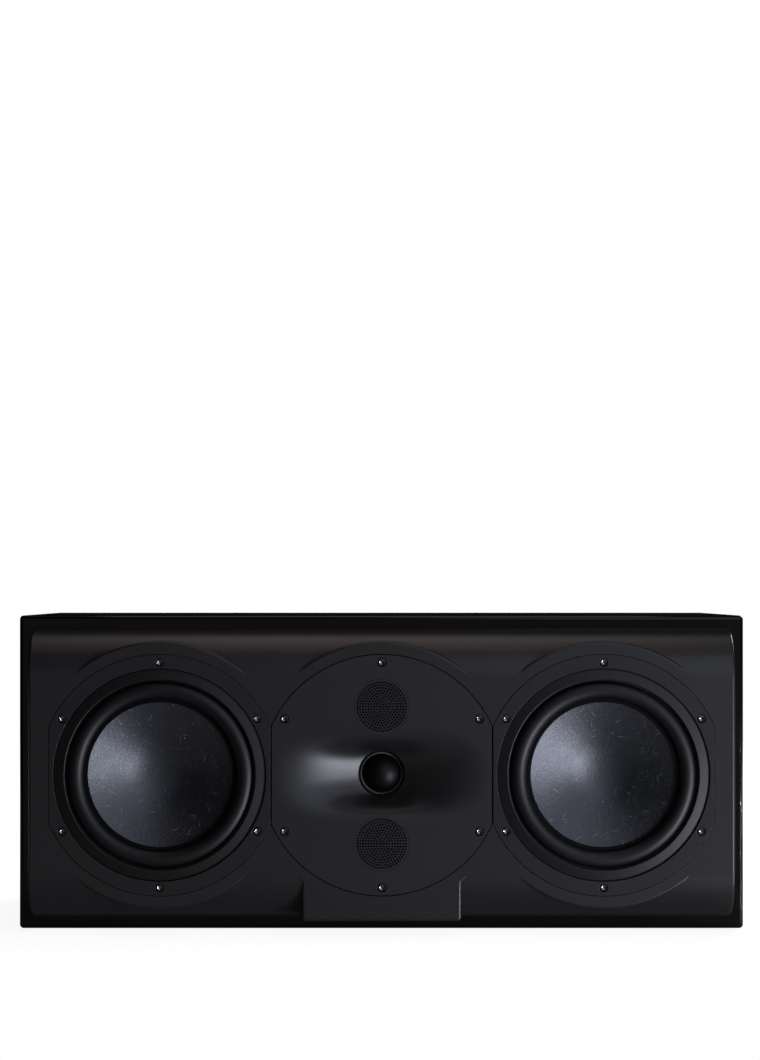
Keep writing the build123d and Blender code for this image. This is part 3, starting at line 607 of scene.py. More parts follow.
def arc(middle, radii, start, end, steps):
    """Profile points on an ellipse, from one angle to another."""
    return [
        (middle[0] + radii[0] * math.cos(angle), middle[1] + radii[1] * math.sin(angle))
        for angle in np.linspace(math.radians(start), math.radians(end), steps + 1)
    ]


trim_plastic = grained_finish(
    "trim plastic", (0.0012, 0.0012, 0.0014, 1), (0.0020, 0.0020, 0.0023, 1), (0.42, 0.48), 0.6 * mm,
    0.004 * mm, 0.46,
)
crest_middle = (trim_inner_radius + trim_crest_width, trim_crest_depth + trim_crest_width)
trim_profile = [
    (trim_inner_radius, trim_seat_depth),
    (trim_outer_radius, trim_seat_depth),
    (trim_outer_radius, trim_outer_depth + trim_outer_edge),
    (trim_outer_radius - trim_outer_edge, trim_outer_depth),
    *arc(crest_middle, (trim_crest_width, trim_crest_width), 285, 180, trim_crest_steps),
]
for side, x in sides.items():
    trim = turned(f"{side}_trim_ring", trim_profile, x, crease=24)
    fitted(trim, trim_plastic, "cabinet", "trim_plastic", f"{side}_woofer_trim_ring")

# Surrounds
# A half roll of moulded rubber. Its outer lip is clamped under the trim ring and its inner strip is glued
# on the cone's land, so it bends between the basket and the moving cone.
roll_outer_foot = 70.6 * mm
roll_inner_foot = 57.6 * mm
roll_crest_depth = 0.35 * mm
roll_thickness = 1.0 * mm
roll_lip_radius = 79.8 * mm
roll_strip_radius = 54.7 * mm
roll_strip_step = 0.2 * mm
roll_dark_strip_end = 58.0 * mm
roll_steps = 28
rubber = grained_finish(
    "surround rubber", (0.0018, 0.0018, 0.0021, 1), (0.0032, 0.0032, 0.0036, 1), (0.42, 0.52),
    0.8 * mm, 0.006 * mm, 0.42,
)
# The inner strip next to the cone is given a darker, duller rubber.
dark_strip_rubber = grained_finish(
    "rubber dulled by glue", (0.0006, 0.0006, 0.0007, 1), (0.0014, 0.0014, 0.0016, 1), (0.60, 0.75),
    0.8 * mm, 0.006 * mm, 0.1,
)
roll_middle = ((roll_outer_foot + roll_inner_foot) / 2, trim_seat_depth)
roll_radii = ((roll_outer_foot - roll_inner_foot) / 2, trim_seat_depth - roll_crest_depth)
roll_underside = (roll_middle[0], trim_seat_depth + roll_thickness)
roll_under_radii = (roll_radii[0] - roll_thickness, roll_radii[1])
roll_profile = [
    (roll_lip_radius, trim_seat_depth + roll_thickness),
    (roll_lip_radius, trim_seat_depth),
    (roll_outer_foot + roll_thickness, trim_seat_depth),
    *arc(roll_middle, roll_radii, 360, 180, roll_steps),
    (roll_strip_radius, trim_seat_depth + roll_strip_step),
    (roll_strip_radius, trim_seat_depth + roll_thickness),
    *arc(roll_underside, roll_under_radii, 180, 360, roll_steps),
]


def bend_between(piece, x, outer, inner):
    """Bakes a turned part's placement into its mesh and works out how far its points lie from the driver's
    axis; the part is not bent.
    """
    start = (x + outer, front_y, axis_z)
    end = (x + inner, front_y, axis_z)
    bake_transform(piece)
    points = np.array([point.co for point in piece.data.vertices])
    radius = np.hypot(points[:, 0] - x, points[:, 2] - axis_z)


for side, x in sides.items():
    roll = turned(f"{side}_surround", roll_profile, x, crease=60)
    roll.data.materials.append(rubber.material)
    roll.data.materials.append(dark_strip_rubber.material)
    # Faces inside that radius take the darker, duller rubber.
    for facet in roll.data.polygons:
        reach = math.hypot(facet.center.x - x, facet.center.z - axis_z)
        facet.material_index = int(reach < roll_dark_strip_end)
    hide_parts(f"{side}_woofer_surround")
    bend_between(roll, x, roll_outer_foot, roll_inner_foot)

# Cones
# One pressed dish of woven and chopped fibre in a dark resin, with a rounded middle in place of a cap.
# Short pale fibres lie in all directions under a satin clear coat, the deeper ones faint. A neck behind
# the dish takes the coil former.
cone_edge_radius = 57.1 * mm
cone_radius = 55.2 * mm
cone_round_radius = 24.0 * mm
cone_slope = math.radians(25.5)
cone_thickness = 1.1 * mm
cone_lip_depth = 7.0 * mm
cone_neck_radius = 19.3 * mm
cone_neck_wall = 1.0 * mm
cone_neck_length = 7.0 * mm
cone_round_steps = 12
fibre_size = (12.0 * mm, 40 * mm, 0.48 * mm)
fibre_turns = (0.15, 0.75, 1.4, 2.0, 2.65)
bright_fibre = (0.775, 0.835)
faint_fibre = (0.66, 0.76)
faint_share = 0.07
speck_band = (0.86, 0.91)
resin_colour = (0.0105, 0.0108, 0.0122, 1)
fibre_colour = (0.34, 0.35, 0.38, 1)
cone_fibre = Finish("pressed fibre")
fibres = 0.0
relief = 0.0
for turn in fibre_turns:
    strand = cone_fibre.noise(1.0, 1.0, cone_fibre.laid((0.0, turn, 0.0), fibre_size))
    fibres = cone_fibre.ramp(strand, *bright_fibre) + fibres
    fibres = cone_fibre.ramp(strand, *faint_fibre) * faint_share + fibres
    relief = strand + relief
specks = cone_fibre.ramp(cone_fibre.noise(1.6 * mm, 0.0), *speck_band)
resin_cloud = cone_fibre.noise(9 * mm, 3.0)
resin_grain = cone_fibre.noise(1.3 * mm, 3.0)
pale_share = fibres + specks + (resin_grain - 0.5) * 0.03
cone_fibre.set(
    {
        "Base Color": cone_fibre.tint(pale_share, resin_colour, fibre_colour),
        "Roughness": 0.28 + resin_cloud * 0.08 + resin_grain * 0.14,
        "Normal": cone_fibre.bump(relief + resin_grain, 0.085 * mm),
        "Specular IOR Level": 1.0,
        "Specular Tint": (0.88, 0.91, 1.0, 1),
    }
)
cone_fall = math.tan(cone_slope)
cone_round_depth = cone_lip_depth + (cone_radius - cone_round_radius) * cone_fall
cone_ball_radius = cone_round_radius / math.sin(cone_slope)
cone_middle_depth = cone_round_depth + cone_ball_radius * (1 - math.cos(cone_slope))


def dish_point(radius):
    """Depth of the cone's face at a radius."""
    if radius > cone_radius:
        return cone_lip_depth
    if radius > cone_round_radius:
        return cone_lip_depth + (cone_radius - radius) * cone_fall
    return cone_middle_depth - cone_ball_radius + math.sqrt(cone_ball_radius**2 - radius**2)


face_radii = [cone_edge_radius, cone_radius, 0.7 * cone_radius]
face_radii += list(np.linspace(cone_round_radius, 0, cone_round_steps + 1))
neck_outer = cone_neck_radius + cone_neck_wall
neck_end = dish_point(cone_neck_radius) + cone_thickness + cone_neck_length
rear_radii = list(np.linspace(0, cone_neck_radius, cone_round_steps + 1))
rim_radii = [neck_outer, cone_round_radius, cone_radius, cone_edge_radius]
cone_profile = [(radius, dish_point(radius)) for radius in face_radii]
cone_profile += [(radius, dish_point(radius) + cone_thickness) for radius in rear_radii]
cone_profile += [(cone_neck_radius, neck_end), (neck_outer, neck_end)]
cone_profile += [(radius, dish_point(radius) + cone_thickness) for radius in rim_radii]
for side, x in sides.items():
    cone = turned(f"{side}_cone_dish", cone_profile, x, crease=20)
    fitted(cone, cone_fibre, f"{side}_cone", "cone_fibre", f"{side}_woofer_cone")

# Voice coils, spiders and motors
# Copper wire on a thin former hangs in the gap of a ring magnet between steel plates.
# The spider is a corrugated disc of resin dipped cloth that centres the coil and flexes with it.
spider_bore = 19.55 * mm
spider_radius = 50 * mm
spider_border = 5 * mm
spider_depth = 42 * mm
spider_thickness = 0.8 * mm
spider_wave_height = 1.8 * mm
spider_waves = 4
spider_steps = 64
spider_thread_scale = 420.0
copper = grained_finish(
    "copper wire", (0.48, 0.17, 0.07, 1), (0.72, 0.30, 0.14, 1), (0.25, 0.42), 0.3 * mm, 0.05 * mm,
    metallic=1.0,
)
steel = grained_finish(
    "zinc plated steel", (0.42, 0.42, 0.41, 1), (0.60, 0.60, 0.58, 1), (0.28, 0.42), 1.5 * mm,
    0.01 * mm, metallic=1.0,
)
ferrite = grained_finish(
    "ferrite", (0.020, 0.020, 0.021, 1), (0.050, 0.050, 0.052, 1), (0.55, 0.75), 0.5 * mm, 0.03 * mm,
    0.4,
)
spider_cloth = Finish("dipped cloth")
weave = spider_cloth.weave(spider_thread_scale)
spider_cloth.set(
    {
        "Base Color": spider_cloth.tint(weave, (0.20, 0.11, 0.03, 1), (0.48, 0.32, 0.12, 1)),
        "Roughness": 0.6 + weave * 0.2,
        "Normal": spider_cloth.bump(weave, 0.1 * mm),
    }
)
wave_start = spider_bore + spider_border
wave_end = spider_radius - spider_border


def spider_height(radius):
    """How far the corrugated cloth stands forward at a radius."""
    share = min(max((radius - wave_start) / (wave_end - wave_start), 0), 1)
    return spider_wave_height * (1 - math.cos(2 * math.pi * spider_waves * share)) / 2


spider_radii = np.linspace(spider_bore, spider_radius, spider_steps + 1)
spider_profile = [(radius, spider_depth - spider_height(radius)) for radius in spider_radii]
spider_profile += [(radius, depth - spider_thickness) for radius, depth in reversed(spider_profile)]
for side, x in sides.items():
    spider = turned(f"{side}_spider", spider_profile, x, crease=60)
    spider.data.materials.append(spider_cloth.material)
    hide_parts(f"{side}_woofer_spider")
    bend_between(spider, x, wave_end, wave_start)
    repaint(copper, f"{side}_woofer_voice_coil")
    repaint(steel, f"{side}_woofer_top_plate", f"{side}_woofer_yoke")
    repaint(ferrite, f"{side}_woofer_magnet")

# Horn plate
# One moulding of glass filled plastic with the flange's outline. A wide horn leads out of the tweeter's
# throat, round seats above and below it take the perforated discs, and six counterbores take the screws.
plate_radius = 90.8 * mm
plate_half_width = 82.95 * mm
plate_thickness = 9 * mm
plate_edge = 0.25 * mm
horn_half_width = 81 * mm
horn_half_height = 41 * mm
horn_depth = 20 * mm
horn_wall = 3 * mm
horn_fullness = 1.0
horn_rim_softness = 3.5
horn_steps = 40
horn_rear_steps = 8
horn_sides = 192
throat_radius = 17.8 * mm
throat_end = 29 * mm
disc_offset = 51.6 * mm
disc_seat_radius = 20.7 * mm
disc_seat_depth = 1.0 * mm
mid_throat_radius = 19.2 * mm
counterbore_radius = 3.3 * mm
counterbore_depth = 2.9 * mm
counterbore_edge = 0.5 * mm
screw_hole_radius = 2.25 * mm
horn_plastic = grained_finish(
    "horn plastic", (0.0130, 0.0125, 0.0125, 1), (0.0156, 0.0151, 0.0151, 1), (0.34, 0.40), 0.5 * mm,
    0.003 * mm, 0.55,
)


def horn_outline(fall, depth, wall=0.0):
    """The horn's section where its wall has fallen by a share of its depth, from 0 at the mouth to 1."""
    shares = np.linspace(1, 0, 401)
    wide = np.interp(fall, 1 - 1.5 * shares + 0.5 * shares**3, shares)
    high = 1 - fall ** (1 / horn_rim_softness)
    half_width = throat_radius + (horn_half_width - throat_radius) * wide + wall
    half_height = throat_radius + (horn_half_height - throat_radius) * high + wall
    angles = np.arange(horn_sides) * 2 * math.pi / horn_sides
    power = 2 / (2 + horn_fullness * math.sqrt(wide))
    across = half_width * np.sign(np.cos(angles)) * np.abs(np.cos(angles)) ** power
    up = half_height * np.sign(np.sin(angles)) * np.abs(np.sin(angles)) ** power
    return np.stack([across, np.full(horn_sides, front_y + depth), axis_z + up], 1)


def faced(name, openings, outline, crease=32):
    """A plate with a front and a rear face, an outline and openings that run from face to face."""
    skin = bmesh.new()
    ends = [walled(skin, loops) for loops in (outline, *openings)]
    for face in (0, -1):
        borders = []
        for rows in ends:
            corners = rows[face]
            borders += [
                skin.edges.get((corner, after)) or skin.edges.new((corner, after))
                for corner, after in zip(corners, corners[1:] + corners[:1])
            ]
        bmesh.ops.triangle_fill(skin, edges=borders, use_beauty=True, use_dissolve=False, normal=(0, -1, 0))
    return sealed(skin, name, crease)


rear_fall = (plate_thickness - horn_wall) / horn_depth
horn_loops = [horn_outline(0, 0.0, plate_edge)]
horn_loops += [horn_outline(fall, horn_depth * fall) for fall in np.linspace(0, 1, horn_steps + 1) ** 2]
horn_loops += [horn_outline(1, throat_end), horn_outline(1, throat_end, horn_wall)]
horn_loops += [
    horn_outline(fall, horn_wall + horn_depth * fall, horn_wall)
    for fall in np.linspace(1, rear_fall, horn_rear_steps + 1)
]
plate_openings = [horn_loops]
for x, z in screw_places(0.0):
    bore = [(counterbore_radius + counterbore_edge, 0.0), (counterbore_radius, counterbore_edge)]
    bore += [(counterbore_radius, counterbore_depth), (screw_hole_radius, counterbore_depth)]
    bore += [(screw_hole_radius, plate_thickness)]
    plate_openings.append([ring(radius, depth, x, z, 48) for radius, depth in bore])
plate_rows = ((plate_edge, 0.0), (0.0, plate_edge), (0.0, plate_thickness))
plate_loops = [
    flat_sided(plate_radius - inset, plate_half_width - inset, depth) for inset, depth in plate_rows
]
horn = faced("dome_horn_plate", plate_openings, plate_loops, 24)
for z in (axis_z + disc_offset, axis_z - disc_offset):
    seat = [(disc_seat_radius + plate_edge + mm, -mm), (disc_seat_radius, plate_edge)]
    seat += [(disc_seat_radius, disc_seat_depth)]
    throat = [(mid_throat_radius, disc_seat_depth), (mid_throat_radius, plate_thickness + mm)]
    seat_loops = [ring(radius, depth, 0.0, z, 128) for radius, depth in seat + throat]
    horn = carved(horn, skinned("disc_seat", seat_loops), "DIFFERENCE", 24)
fitted(horn, horn_plastic, "cabinet", "horn_plastic", "horn_plate")
repaint(gasket_foam, "horn_gasket")

# Perforated discs
# Thin punched steel, painted black and pressed into the horn plate in front of the two outer domes.
# Nine rings of round holes, six more in each ring than in the one inside it.
disc_radius = 20.6 * mm
disc_thickness = 1.0 * mm
disc_rings = 9
disc_ring_pitch = 2.04 * mm
disc_hole_radius = 0.80 * mm
disc_hole_sides = 14
disc_sides = 128
disc_places = {"upper": axis_z + disc_offset, "lower": axis_z - disc_offset}
grille_paint = grained_finish(
    "grille paint", (0.0125, 0.0125, 0.0132, 1), (0.0165, 0.0165, 0.0172, 1), (0.42, 0.55), 0.4 * mm,
    0.004 * mm, 0.4,
)
punching = Pattern("punched disc")
rings = punching.size("Rings", "NodeSocketInt")
pitch = punching.size("Ring pitch")
count = 3 * rings * (rings + 1) + 1
index = punching.node("GeometryNodeInputIndex")
ring_number = punching.math("CEIL", (punching.math("SQRT", 9 + 12 * index) - 3) / 6)
place_in_ring = index - 1 - 3 * ring_number * (ring_number - 1)
hole_angle = 2 * math.pi * place_in_ring / (6 * punching.math("MAXIMUM", ring_number, 1))
hole_reach = pitch * ring_number
hole_place = punching.vector(
    hole_reach * punching.math("COSINE", hole_angle), hole_reach * punching.math("SINE", hole_angle), 0.0
)
hole_points = punching.node("GeometryNodePoints", {}, {"Count": count, "Position": hole_place})
hole_outline = punching.node(
    "GeometryNodeCurvePrimitiveCircle",
    {},
    {"Resolution": disc_hole_sides, "Radius": punching.size("Hole radius")},
)
hole_outlines = punching.node(
    "GeometryNodeInstanceOnPoints", {}, {"Points": hole_points, "Instance": hole_outline}
)
hole_curves = punching.node("GeometryNodeRealizeInstances", {}, {"Geometry": hole_outlines})
disc_outline = punching.node(
    "GeometryNodeCurvePrimitiveCircle",
    {},
    {"Resolution": disc_sides, "Radius": punching.size("Disc radius")},
)
disc_face = punching.node("GeometryNodeFillCurve", {}, {"Curve": punching.joined(disc_outline, hole_curves)})
thickness = punching.size("Thickness")
disc_wall = punching.node(
    "GeometryNodeExtrudeMesh",
    {},
    {
        "Mesh": disc_face,
        "Offset": punching.vector(0.0, 0.0, 1.0),
        "Offset Scale": thickness,
        "Individual": False,
    },
)
disc_back = punching.node("GeometryNodeFlipFaces", {}, {"Mesh": disc_face})
disc_solid = punching.node(
    "GeometryNodeMergeByDistance",
    {},
    {"Geometry": punching.joined(disc_wall, disc_back), "Distance": 0.001 * mm},
)
disc_upright = punching.node(
    "GeometryNodeTransform",
    {},
    {
        "Geometry": disc_solid,
        "Translation": punching.vector(0.0, front_y + disc_thickness, punching.size("Height")),
        "Rotation": (math.pi / 2, 0.0, 0.0),
    },
)
punching.close(disc_upright, grille_paint)
for name, z in disc_places.items():
    punched = {
        "Rings": disc_rings,
        "Ring pitch": disc_ring_pitch,
        "Hole radius": disc_hole_radius,
        "Disc radius": disc_radius,
        "Thickness": disc_thickness,
        "Height": z,
    }
    disc = grown(f"{name}_perforated_disc", punching, punched)
    fitted(disc, grille_paint, "cabinet", "grille_metal", f"{name}_grille")

# Domes and their motors
# Each dome is pressed from coated cloth in one piece with its own small roll and a flat rim.
# It stands on a ring of copper wire in the gap of a small magnet inside a steel cup.
dome_radius = 14.6 * mm
dome_thickness = 0.4 * mm
dome_roll_start = 14.9 * mm
dome_roll_width = 1.3 * mm
dome_roll_height = 0.8 * mm
dome_rim_radius = 20.5 * mm
dome_steps = 20
dome_sides = 128
thread_scale = 450.0
dome_places = {
    "tweeter_dome": (axis_z, 26 * mm, 9.5 * mm),
    "upper_mid_dome": (disc_places["upper"], 13 * mm, 4.8 * mm),
    "lower_mid_dome": (disc_places["lower"], 13 * mm, 4.8 * mm),
}
dome_cloth = Finish("coated dome cloth")
threads = dome_cloth.weave(thread_scale)
dome_cloth.set(
    {
        "Base Color": dome_cloth.tint(threads, (0.0012, 0.0012, 0.0014, 1), (0.0030, 0.0030, 0.0033, 1)),
        "Roughness": 0.42 + threads * 0.12,
        "Normal": dome_cloth.bump(threads, 0.008 * mm),
        "Specular IOR Level": 0.2,
    }
)
# The dome's small roll is painted pale grey. This is a painted highlight for the thin light ring along its
# crest.
roll_painted_highlight = grained_finish(
    "dome roll", (0.075, 0.075, 0.076, 1), (0.095, 0.095, 0.097, 1), (0.42, 0.52), 0.4 * mm,
    0.004 * mm, 0.5,
)
dome_roll_middle = dome_roll_start + dome_roll_width / 2
for name, (z, rim_depth, height) in dome_places.items():
    ball = (dome_radius**2 + height**2) / (2 * height)
    span = math.degrees(math.asin(dome_radius / ball))
    cap = arc((0, rim_depth - height + ball), (ball, ball), 270, 270 + span, dome_steps)
    bead = arc((dome_roll_middle, rim_depth), (dome_roll_width / 2, dome_roll_height), 180, 360, dome_steps)
    face = [*cap, *bead, (dome_rim_radius, rim_depth)]
    back = [(radius, depth + dome_thickness) for radius, depth in reversed(face)]
    dome_loops = [ring(radius, depth, 0.0, z, dome_sides) for radius, depth in face + back]
    dome = skinned(name + "_cloth", dome_loops, True, 50)
    fitted(dome, dome_cloth, "cabinet", "dome_cloth", name)
    dome.data.materials.append(roll_painted_highlight.material)
    # Faces on the roll take the pale painted highlight.
    for facet in dome.data.polygons:
        reach = math.hypot(facet.center.x, facet.center.z - z)
        facet.material_index = int(dome_roll_start < reach < dome_roll_start + dome_roll_width)
repaint(copper, "dome_voice_coils")
repaint(steel, "dome_pole_plates", "dome_yoke_cups")
repaint(ferrite, "dome_magnets")

# Flange screws
# Black oxide socket screws, six in each flange, sunk in counterbores so that their heads lie below the face.
# The floor of each socket is painted pale, so that the lamp shows there as a bright glint: a painted
# highlight.
screw_head_radius = 3.0 * mm
screw_head_top = 0.9 * mm
screw_head_seat = 2.9 * mm
screw_edge = 0.2 * mm
screw_radius = 2.0 * mm
screw_length = 24 * mm
screw_socket_radius = 1.9 * mm
screw_socket_floor = 1.2 * mm
screw_socket_point = 1.05 * mm
screw_sides = 48
screw_seed = 4
oxide_colour = (0.065, 0.065, 0.068, 1)
socket_glint_colour = (0.33, 0.33, 0.34, 1)
oxide = grained_finish(
    "black oxide", oxide_colour, oxide_colour, (0.18, 0.25), 0.5 * mm, 0.002 * mm, metallic=1.0
)
# The pale socket floor is a painted highlight.
worn = oxide.node("ShaderNodeAttribute", {"attribute_name": "worn"}, output="Fac")
oxide.set({"Base Color": oxide.tint(worn, oxide_colour, socket_glint_colour)})


def screw_ring(radius, depth):
    """A circle of points about the Y axis."""
    return ring(radius, depth, 0.0, 0.0, screw_sides)


def socket_ring(depth):
    """The six sides of a screw's socket, as a loop with as many points as the head's circle."""
    loop = screw_ring(1.0, depth)
    angles = np.arange(screw_sides) * 2 * math.pi / screw_sides
    reach = screw_socket_radius * math.cos(math.pi / 6) / np.cos(angles % (math.pi / 3) - math.pi / 6)
    loop[:, [0, 2]] *= reach[:, None]
    return loop


screw_loops = [
    screw_ring(0.0, screw_socket_floor + screw_socket_point),
    socket_ring(screw_socket_floor),
    socket_ring(screw_head_top),
    screw_ring(screw_head_radius - screw_edge, screw_head_top),
    screw_ring(screw_head_radius - half_turn * screw_edge, screw_head_top + half_turn * screw_edge),
    screw_ring(screw_head_radius, screw_head_top + screw_edge),
    screw_ring(screw_head_radius, screw_head_seat),
    screw_ring(screw_radius, screw_head_seat),
    screw_ring(screw_radius, screw_head_seat + screw_length - screw_radius),
    screw_ring(0.0, screw_head_seat + screw_length),
]
socket_screw = skinned("socket_screw", screw_loops)
socket_bottom = front_y + screw_socket_floor - 0.01 * mm
# Marks the socket floor, which takes the pale painted highlight.
socket_glint_points = socket_screw.data.attributes.new("worn", "FLOAT", "POINT")
for point, value in zip(socket_screw.data.vertices, socket_glint_points.data):
    in_socket = math.hypot(point.co.x, point.co.z) < 1.01 * screw_socket_radius
    value.value = float(in_socket and socket_bottom < point.co.y < front_y + screw_head_seat)
screw_pattern = Pattern("screws round the drivers")
ring_count = screw_pattern.size("Screws in a ring", "NodeSocketInt")
ring_radius = screw_pattern.size("Circle radius")
driver_pitch = screw_pattern.size("Driver pitch")
screw_circle_points = screw_pattern.node(
    "GeometryNodeMeshCircle", {}, {"Vertices": ring_count, "Radius": ring_radius}
)
upright_circle = screw_pattern.node(
    "GeometryNodeTransform",
    {},
    {"Geometry": screw_circle_points, "Rotation": (math.pi / 2, math.pi / 6, 0.0)},
)
driver_line = screw_pattern.node(
    "GeometryNodeMeshLine",
    {"mode": "END_POINTS"},
    {
        "Count": 3,
        "Start Location": screw_pattern.vector(0 - driver_pitch, 0.0, axis_z),
        "Offset": screw_pattern.vector(driver_pitch, 0.0, axis_z),
    },
)
screw_circles = screw_pattern.node(
    "GeometryNodeInstanceOnPoints", {}, {"Points": driver_line, "Instance": upright_circle}
)
screw_points = screw_pattern.node("GeometryNodeRealizeInstances", {}, {"Geometry": screw_circles})
screw_source = screw_pattern.node("GeometryNodeObjectInfo", {}, {"Object": socket_screw}, "Geometry")
screw_turn = screw_pattern.node(
    "FunctionNodeRandomValue",
    {"data_type": "FLOAT_VECTOR"},
    {0: (0.0, 0.0, 0.0), 1: (0.0, math.pi / 3, 0.0), "Seed": screw_seed},
)
screw_copies = screw_pattern.node(
    "GeometryNodeInstanceOnPoints",
    {},
    {"Points": screw_points, "Instance": screw_source, "Rotation": screw_turn},
)
screw_pattern.close(screw_copies, oxide)
screw_sizes = {
    "Screws in a ring": screws_in_ring,
    "Circle radius": screw_circle,
    "Driver pitch": sides["right"],
}
fitted(grown("flange_screws", screw_pattern, screw_sizes), oxide, "cabinet", "black_screw", "driver_screws")
bpy.data.objects.remove(socket_screw)

# Rear ports
# Moulded plastic tubes with a wide flare, pushed into the rear panel until the flange lies on it.
port_bore = 25 * mm
port_wall = 2.5 * mm
port_flare = 12 * mm
port_flange = 5 * mm
port_length = 120 * mm
port_neck = 33.5 * mm
port_lie = 2.5 * mm
port_edge = 0.6 * mm
port_steps = 20
rear_depth = 300 * mm
port_plastic = grained_finish(
    "port plastic", (0.011, 0.011, 0.0115, 1), (0.018, 0.018, 0.0185, 1), (0.36, 0.48), 0.6 * mm,
    0.006 * mm, 0.45,
)
flare_edge = port_bore + port_flare
flange_edge = flare_edge + port_flange
port_profile = [
    *arc((flare_edge, rear_depth - port_flare), (port_flare, port_flare), 180, 90, port_steps),
    (flange_edge - port_edge, rear_depth),
    (flange_edge - half_turn * port_edge, rear_depth - half_turn * port_edge),
    (flange_edge, rear_depth - port_edge),
    (flange_edge, rear_depth - port_lie),
    (port_neck, rear_depth - port_lie),
    (port_bore + port_wall, rear_depth - port_flare - port_wall),
    (port_bore + port_wall, rear_depth - port_length),
    (port_bore, rear_depth - port_length),
]
for side, x in sides.items():
    port = turned(f"{side}_flared_port", port_profile, x)
    fitted(port, port_plastic, "cabinet", "moulded_plastic", f"{side}_port")

# Terminal cup
# A moulded recess with a flat border, sunk into the rear panel so that plugs and knobs stay inside the box.
# Four small pan head screws with cross recesses hold it, two on each side.
cup_screw_x = 48 * mm
cup_screw_rise = 23 * mm
cup_screw_radius = 1.5 * mm
cup_screw_length = 14 * mm
pan_radius = 2.8 * mm
pan_height = 1.4 * mm
pan_crown = 0.4 * mm
pan_steps = 5
cross_reach = 1.65 * mm
cross_depth = 1.1 * mm
cross_taper = 0.55
cup_plastic = grained_finish(
    "cup plastic", (0.012, 0.012, 0.0125, 1), (0.022, 0.022, 0.0225, 1), (0.48, 0.66), 0.9 * mm,
    0.05 * mm, 0.4,
)
repaint(cup_plastic, "terminal_cup")


def crowned(loop):
    """A loop laid on the crown of a pan head."""
    radius = np.hypot(loop[:, 0], loop[:, 2])
    loop[:, 1] = front_y + rear_depth - pan_crown * (radius / pan_radius) ** 2
    return loop


def cross_ring(reach, depth):
    """The outline of a cross recess, as a loop with as many points as the head's circle."""
    loop = screw_ring(1.0, rear_depth - depth)
    along = np.abs(loop[:, [0, 2]]).max(axis=1)
    across = np.abs(loop[:, [0, 2]]).min(axis=1)
    arm = reach * math.tan(math.pi / 12)
    loop[:, [0, 2]] *= np.minimum(reach / along, arm / np.maximum(across, 1e-6))[:, None]
    return loop


pan_radii = np.linspace(1.15 * cross_reach, pan_radius, pan_steps)
pan_loops = [
    screw_ring(0.0, rear_depth - cross_depth),
    cross_ring(cross_taper * cross_reach, 0.9 * cross_depth),
    crowned(cross_ring(cross_reach, 0.0)),
    *(crowned(screw_ring(radius, rear_depth)) for radius in pan_radii),
    screw_ring(pan_radius, rear_depth - pan_height),
    screw_ring(cup_screw_radius, rear_depth - pan_height),
    screw_ring(cup_screw_radius, rear_depth - cup_screw_length + cup_screw_radius),
    screw_ring(0.0, rear_depth - cup_screw_length),
]
pan_skin = bmesh.new()
for x in (-cup_screw_x, cup_screw_x):
    for rise in (-cup_screw_rise, cup_screw_rise):
        capped(pan_skin, [loop + (x, 0.0, axis_z + rise) for loop in pan_loops])
fitted(sealed(pan_skin, "cup_screws"), oxide, "cabinet", "black_screw", "terminal_cup_screws")

# Binding posts
# Turned brass, gilded against tarnish, with a collar on the cup's floor and a plug socket in the end.
# A captive washer and a fluted plastic knob clamp a bare wire: red for positive and black for negative.
gilt = grained_finish(
    "gilt brass", (0.72, 0.46, 0.16, 1), (0.86, 0.60, 0.25, 1), (0.16, 0.28), 0.7 * mm, 0.003 * mm,
    metallic=1.0,
)
knob_colours = {
    "positive": ("red", (0.30, 0.012, 0.010, 1), (0.42, 0.022, 0.018, 1)),
    "negative": ("black", (0.010, 0.010, 0.0105, 1), (0.018, 0.018, 0.0185, 1)),
}
for pole, (colour, dark, light) in knob_colours.items():
    knob_plastic = grained_finish(
        f"{colour} knob plastic", dark, light, (0.30, 0.42), 0.6 * mm, 0.006 * mm, 0.5
    )
    repaint(gilt, f"{pole}_post", f"{pole}_washer")
    repaint(knob_plastic, f"{pole}_knob")
repaint(steel, "post_nuts")

# Crossover
# A glass fibre board bolted behind the cup by the posts. It carries wound inductors, film capacitors in
# coloured wrap and cement resistors.
laminate = grained_finish(
    "board laminate", (0.020, 0.085, 0.035, 1), (0.035, 0.125, 0.055, 1), (0.40, 0.55), 0.7 * mm,
    0.01 * mm, 0.5,
)
film_wrap = grained_finish(
    "capacitor wrap", (0.42, 0.24, 0.02, 1), (0.60, 0.38, 0.05, 1), (0.30, 0.45), 1.0 * mm,
    0.01 * mm, 0.5,
)
cement = grained_finish(
    "resistor cement", (0.55, 0.54, 0.50, 1), (0.72, 0.71, 0.67, 1), (0.70, 0.90), 0.5 * mm,
    0.04 * mm, 0.3,
)
repaint(laminate, "crossover_board")
repaint(copper, "crossover_inductors")
repaint(film_wrap, "crossover_capacitors")
repaint(cement, "crossover_resistors")

# Floor
# A plain sheet of white studio paper, which ends a little way in front of the speaker. It glows a little to
# the eye and in reflections, so that it reads as white. Near the speaker the glow is turned down as a
# painted shadow. In reflections this painted shade reaches much further and leaves the paper nearly dark.
paper_half_width = 1.7
paper_front_y = -0.42
paper_rear_y = 2.6
paper_drop = 0.1 * mm
paper_glow = 1.0
shade_reach = 0.30
shade_least = 0.92
mirror_reach = 2.0
mirror_least = 0.02
floor_mesh = bpy.data.meshes.new("floor")
floor_corners = [
    (-paper_half_width, paper_front_y, -paper_drop),
    (paper_half_width, paper_front_y, -paper_drop),
    (paper_half_width, paper_rear_y, -paper_drop),
    (-paper_half_width, paper_rear_y, -paper_drop),
]
floor_mesh.from_pydata(floor_corners, [], [(0, 1, 2, 3)])
floor = bpy.data.objects.new("floor", floor_mesh)
bpy.context.scene.collection.objects.link(floor)
paper = Finish("studio paper")
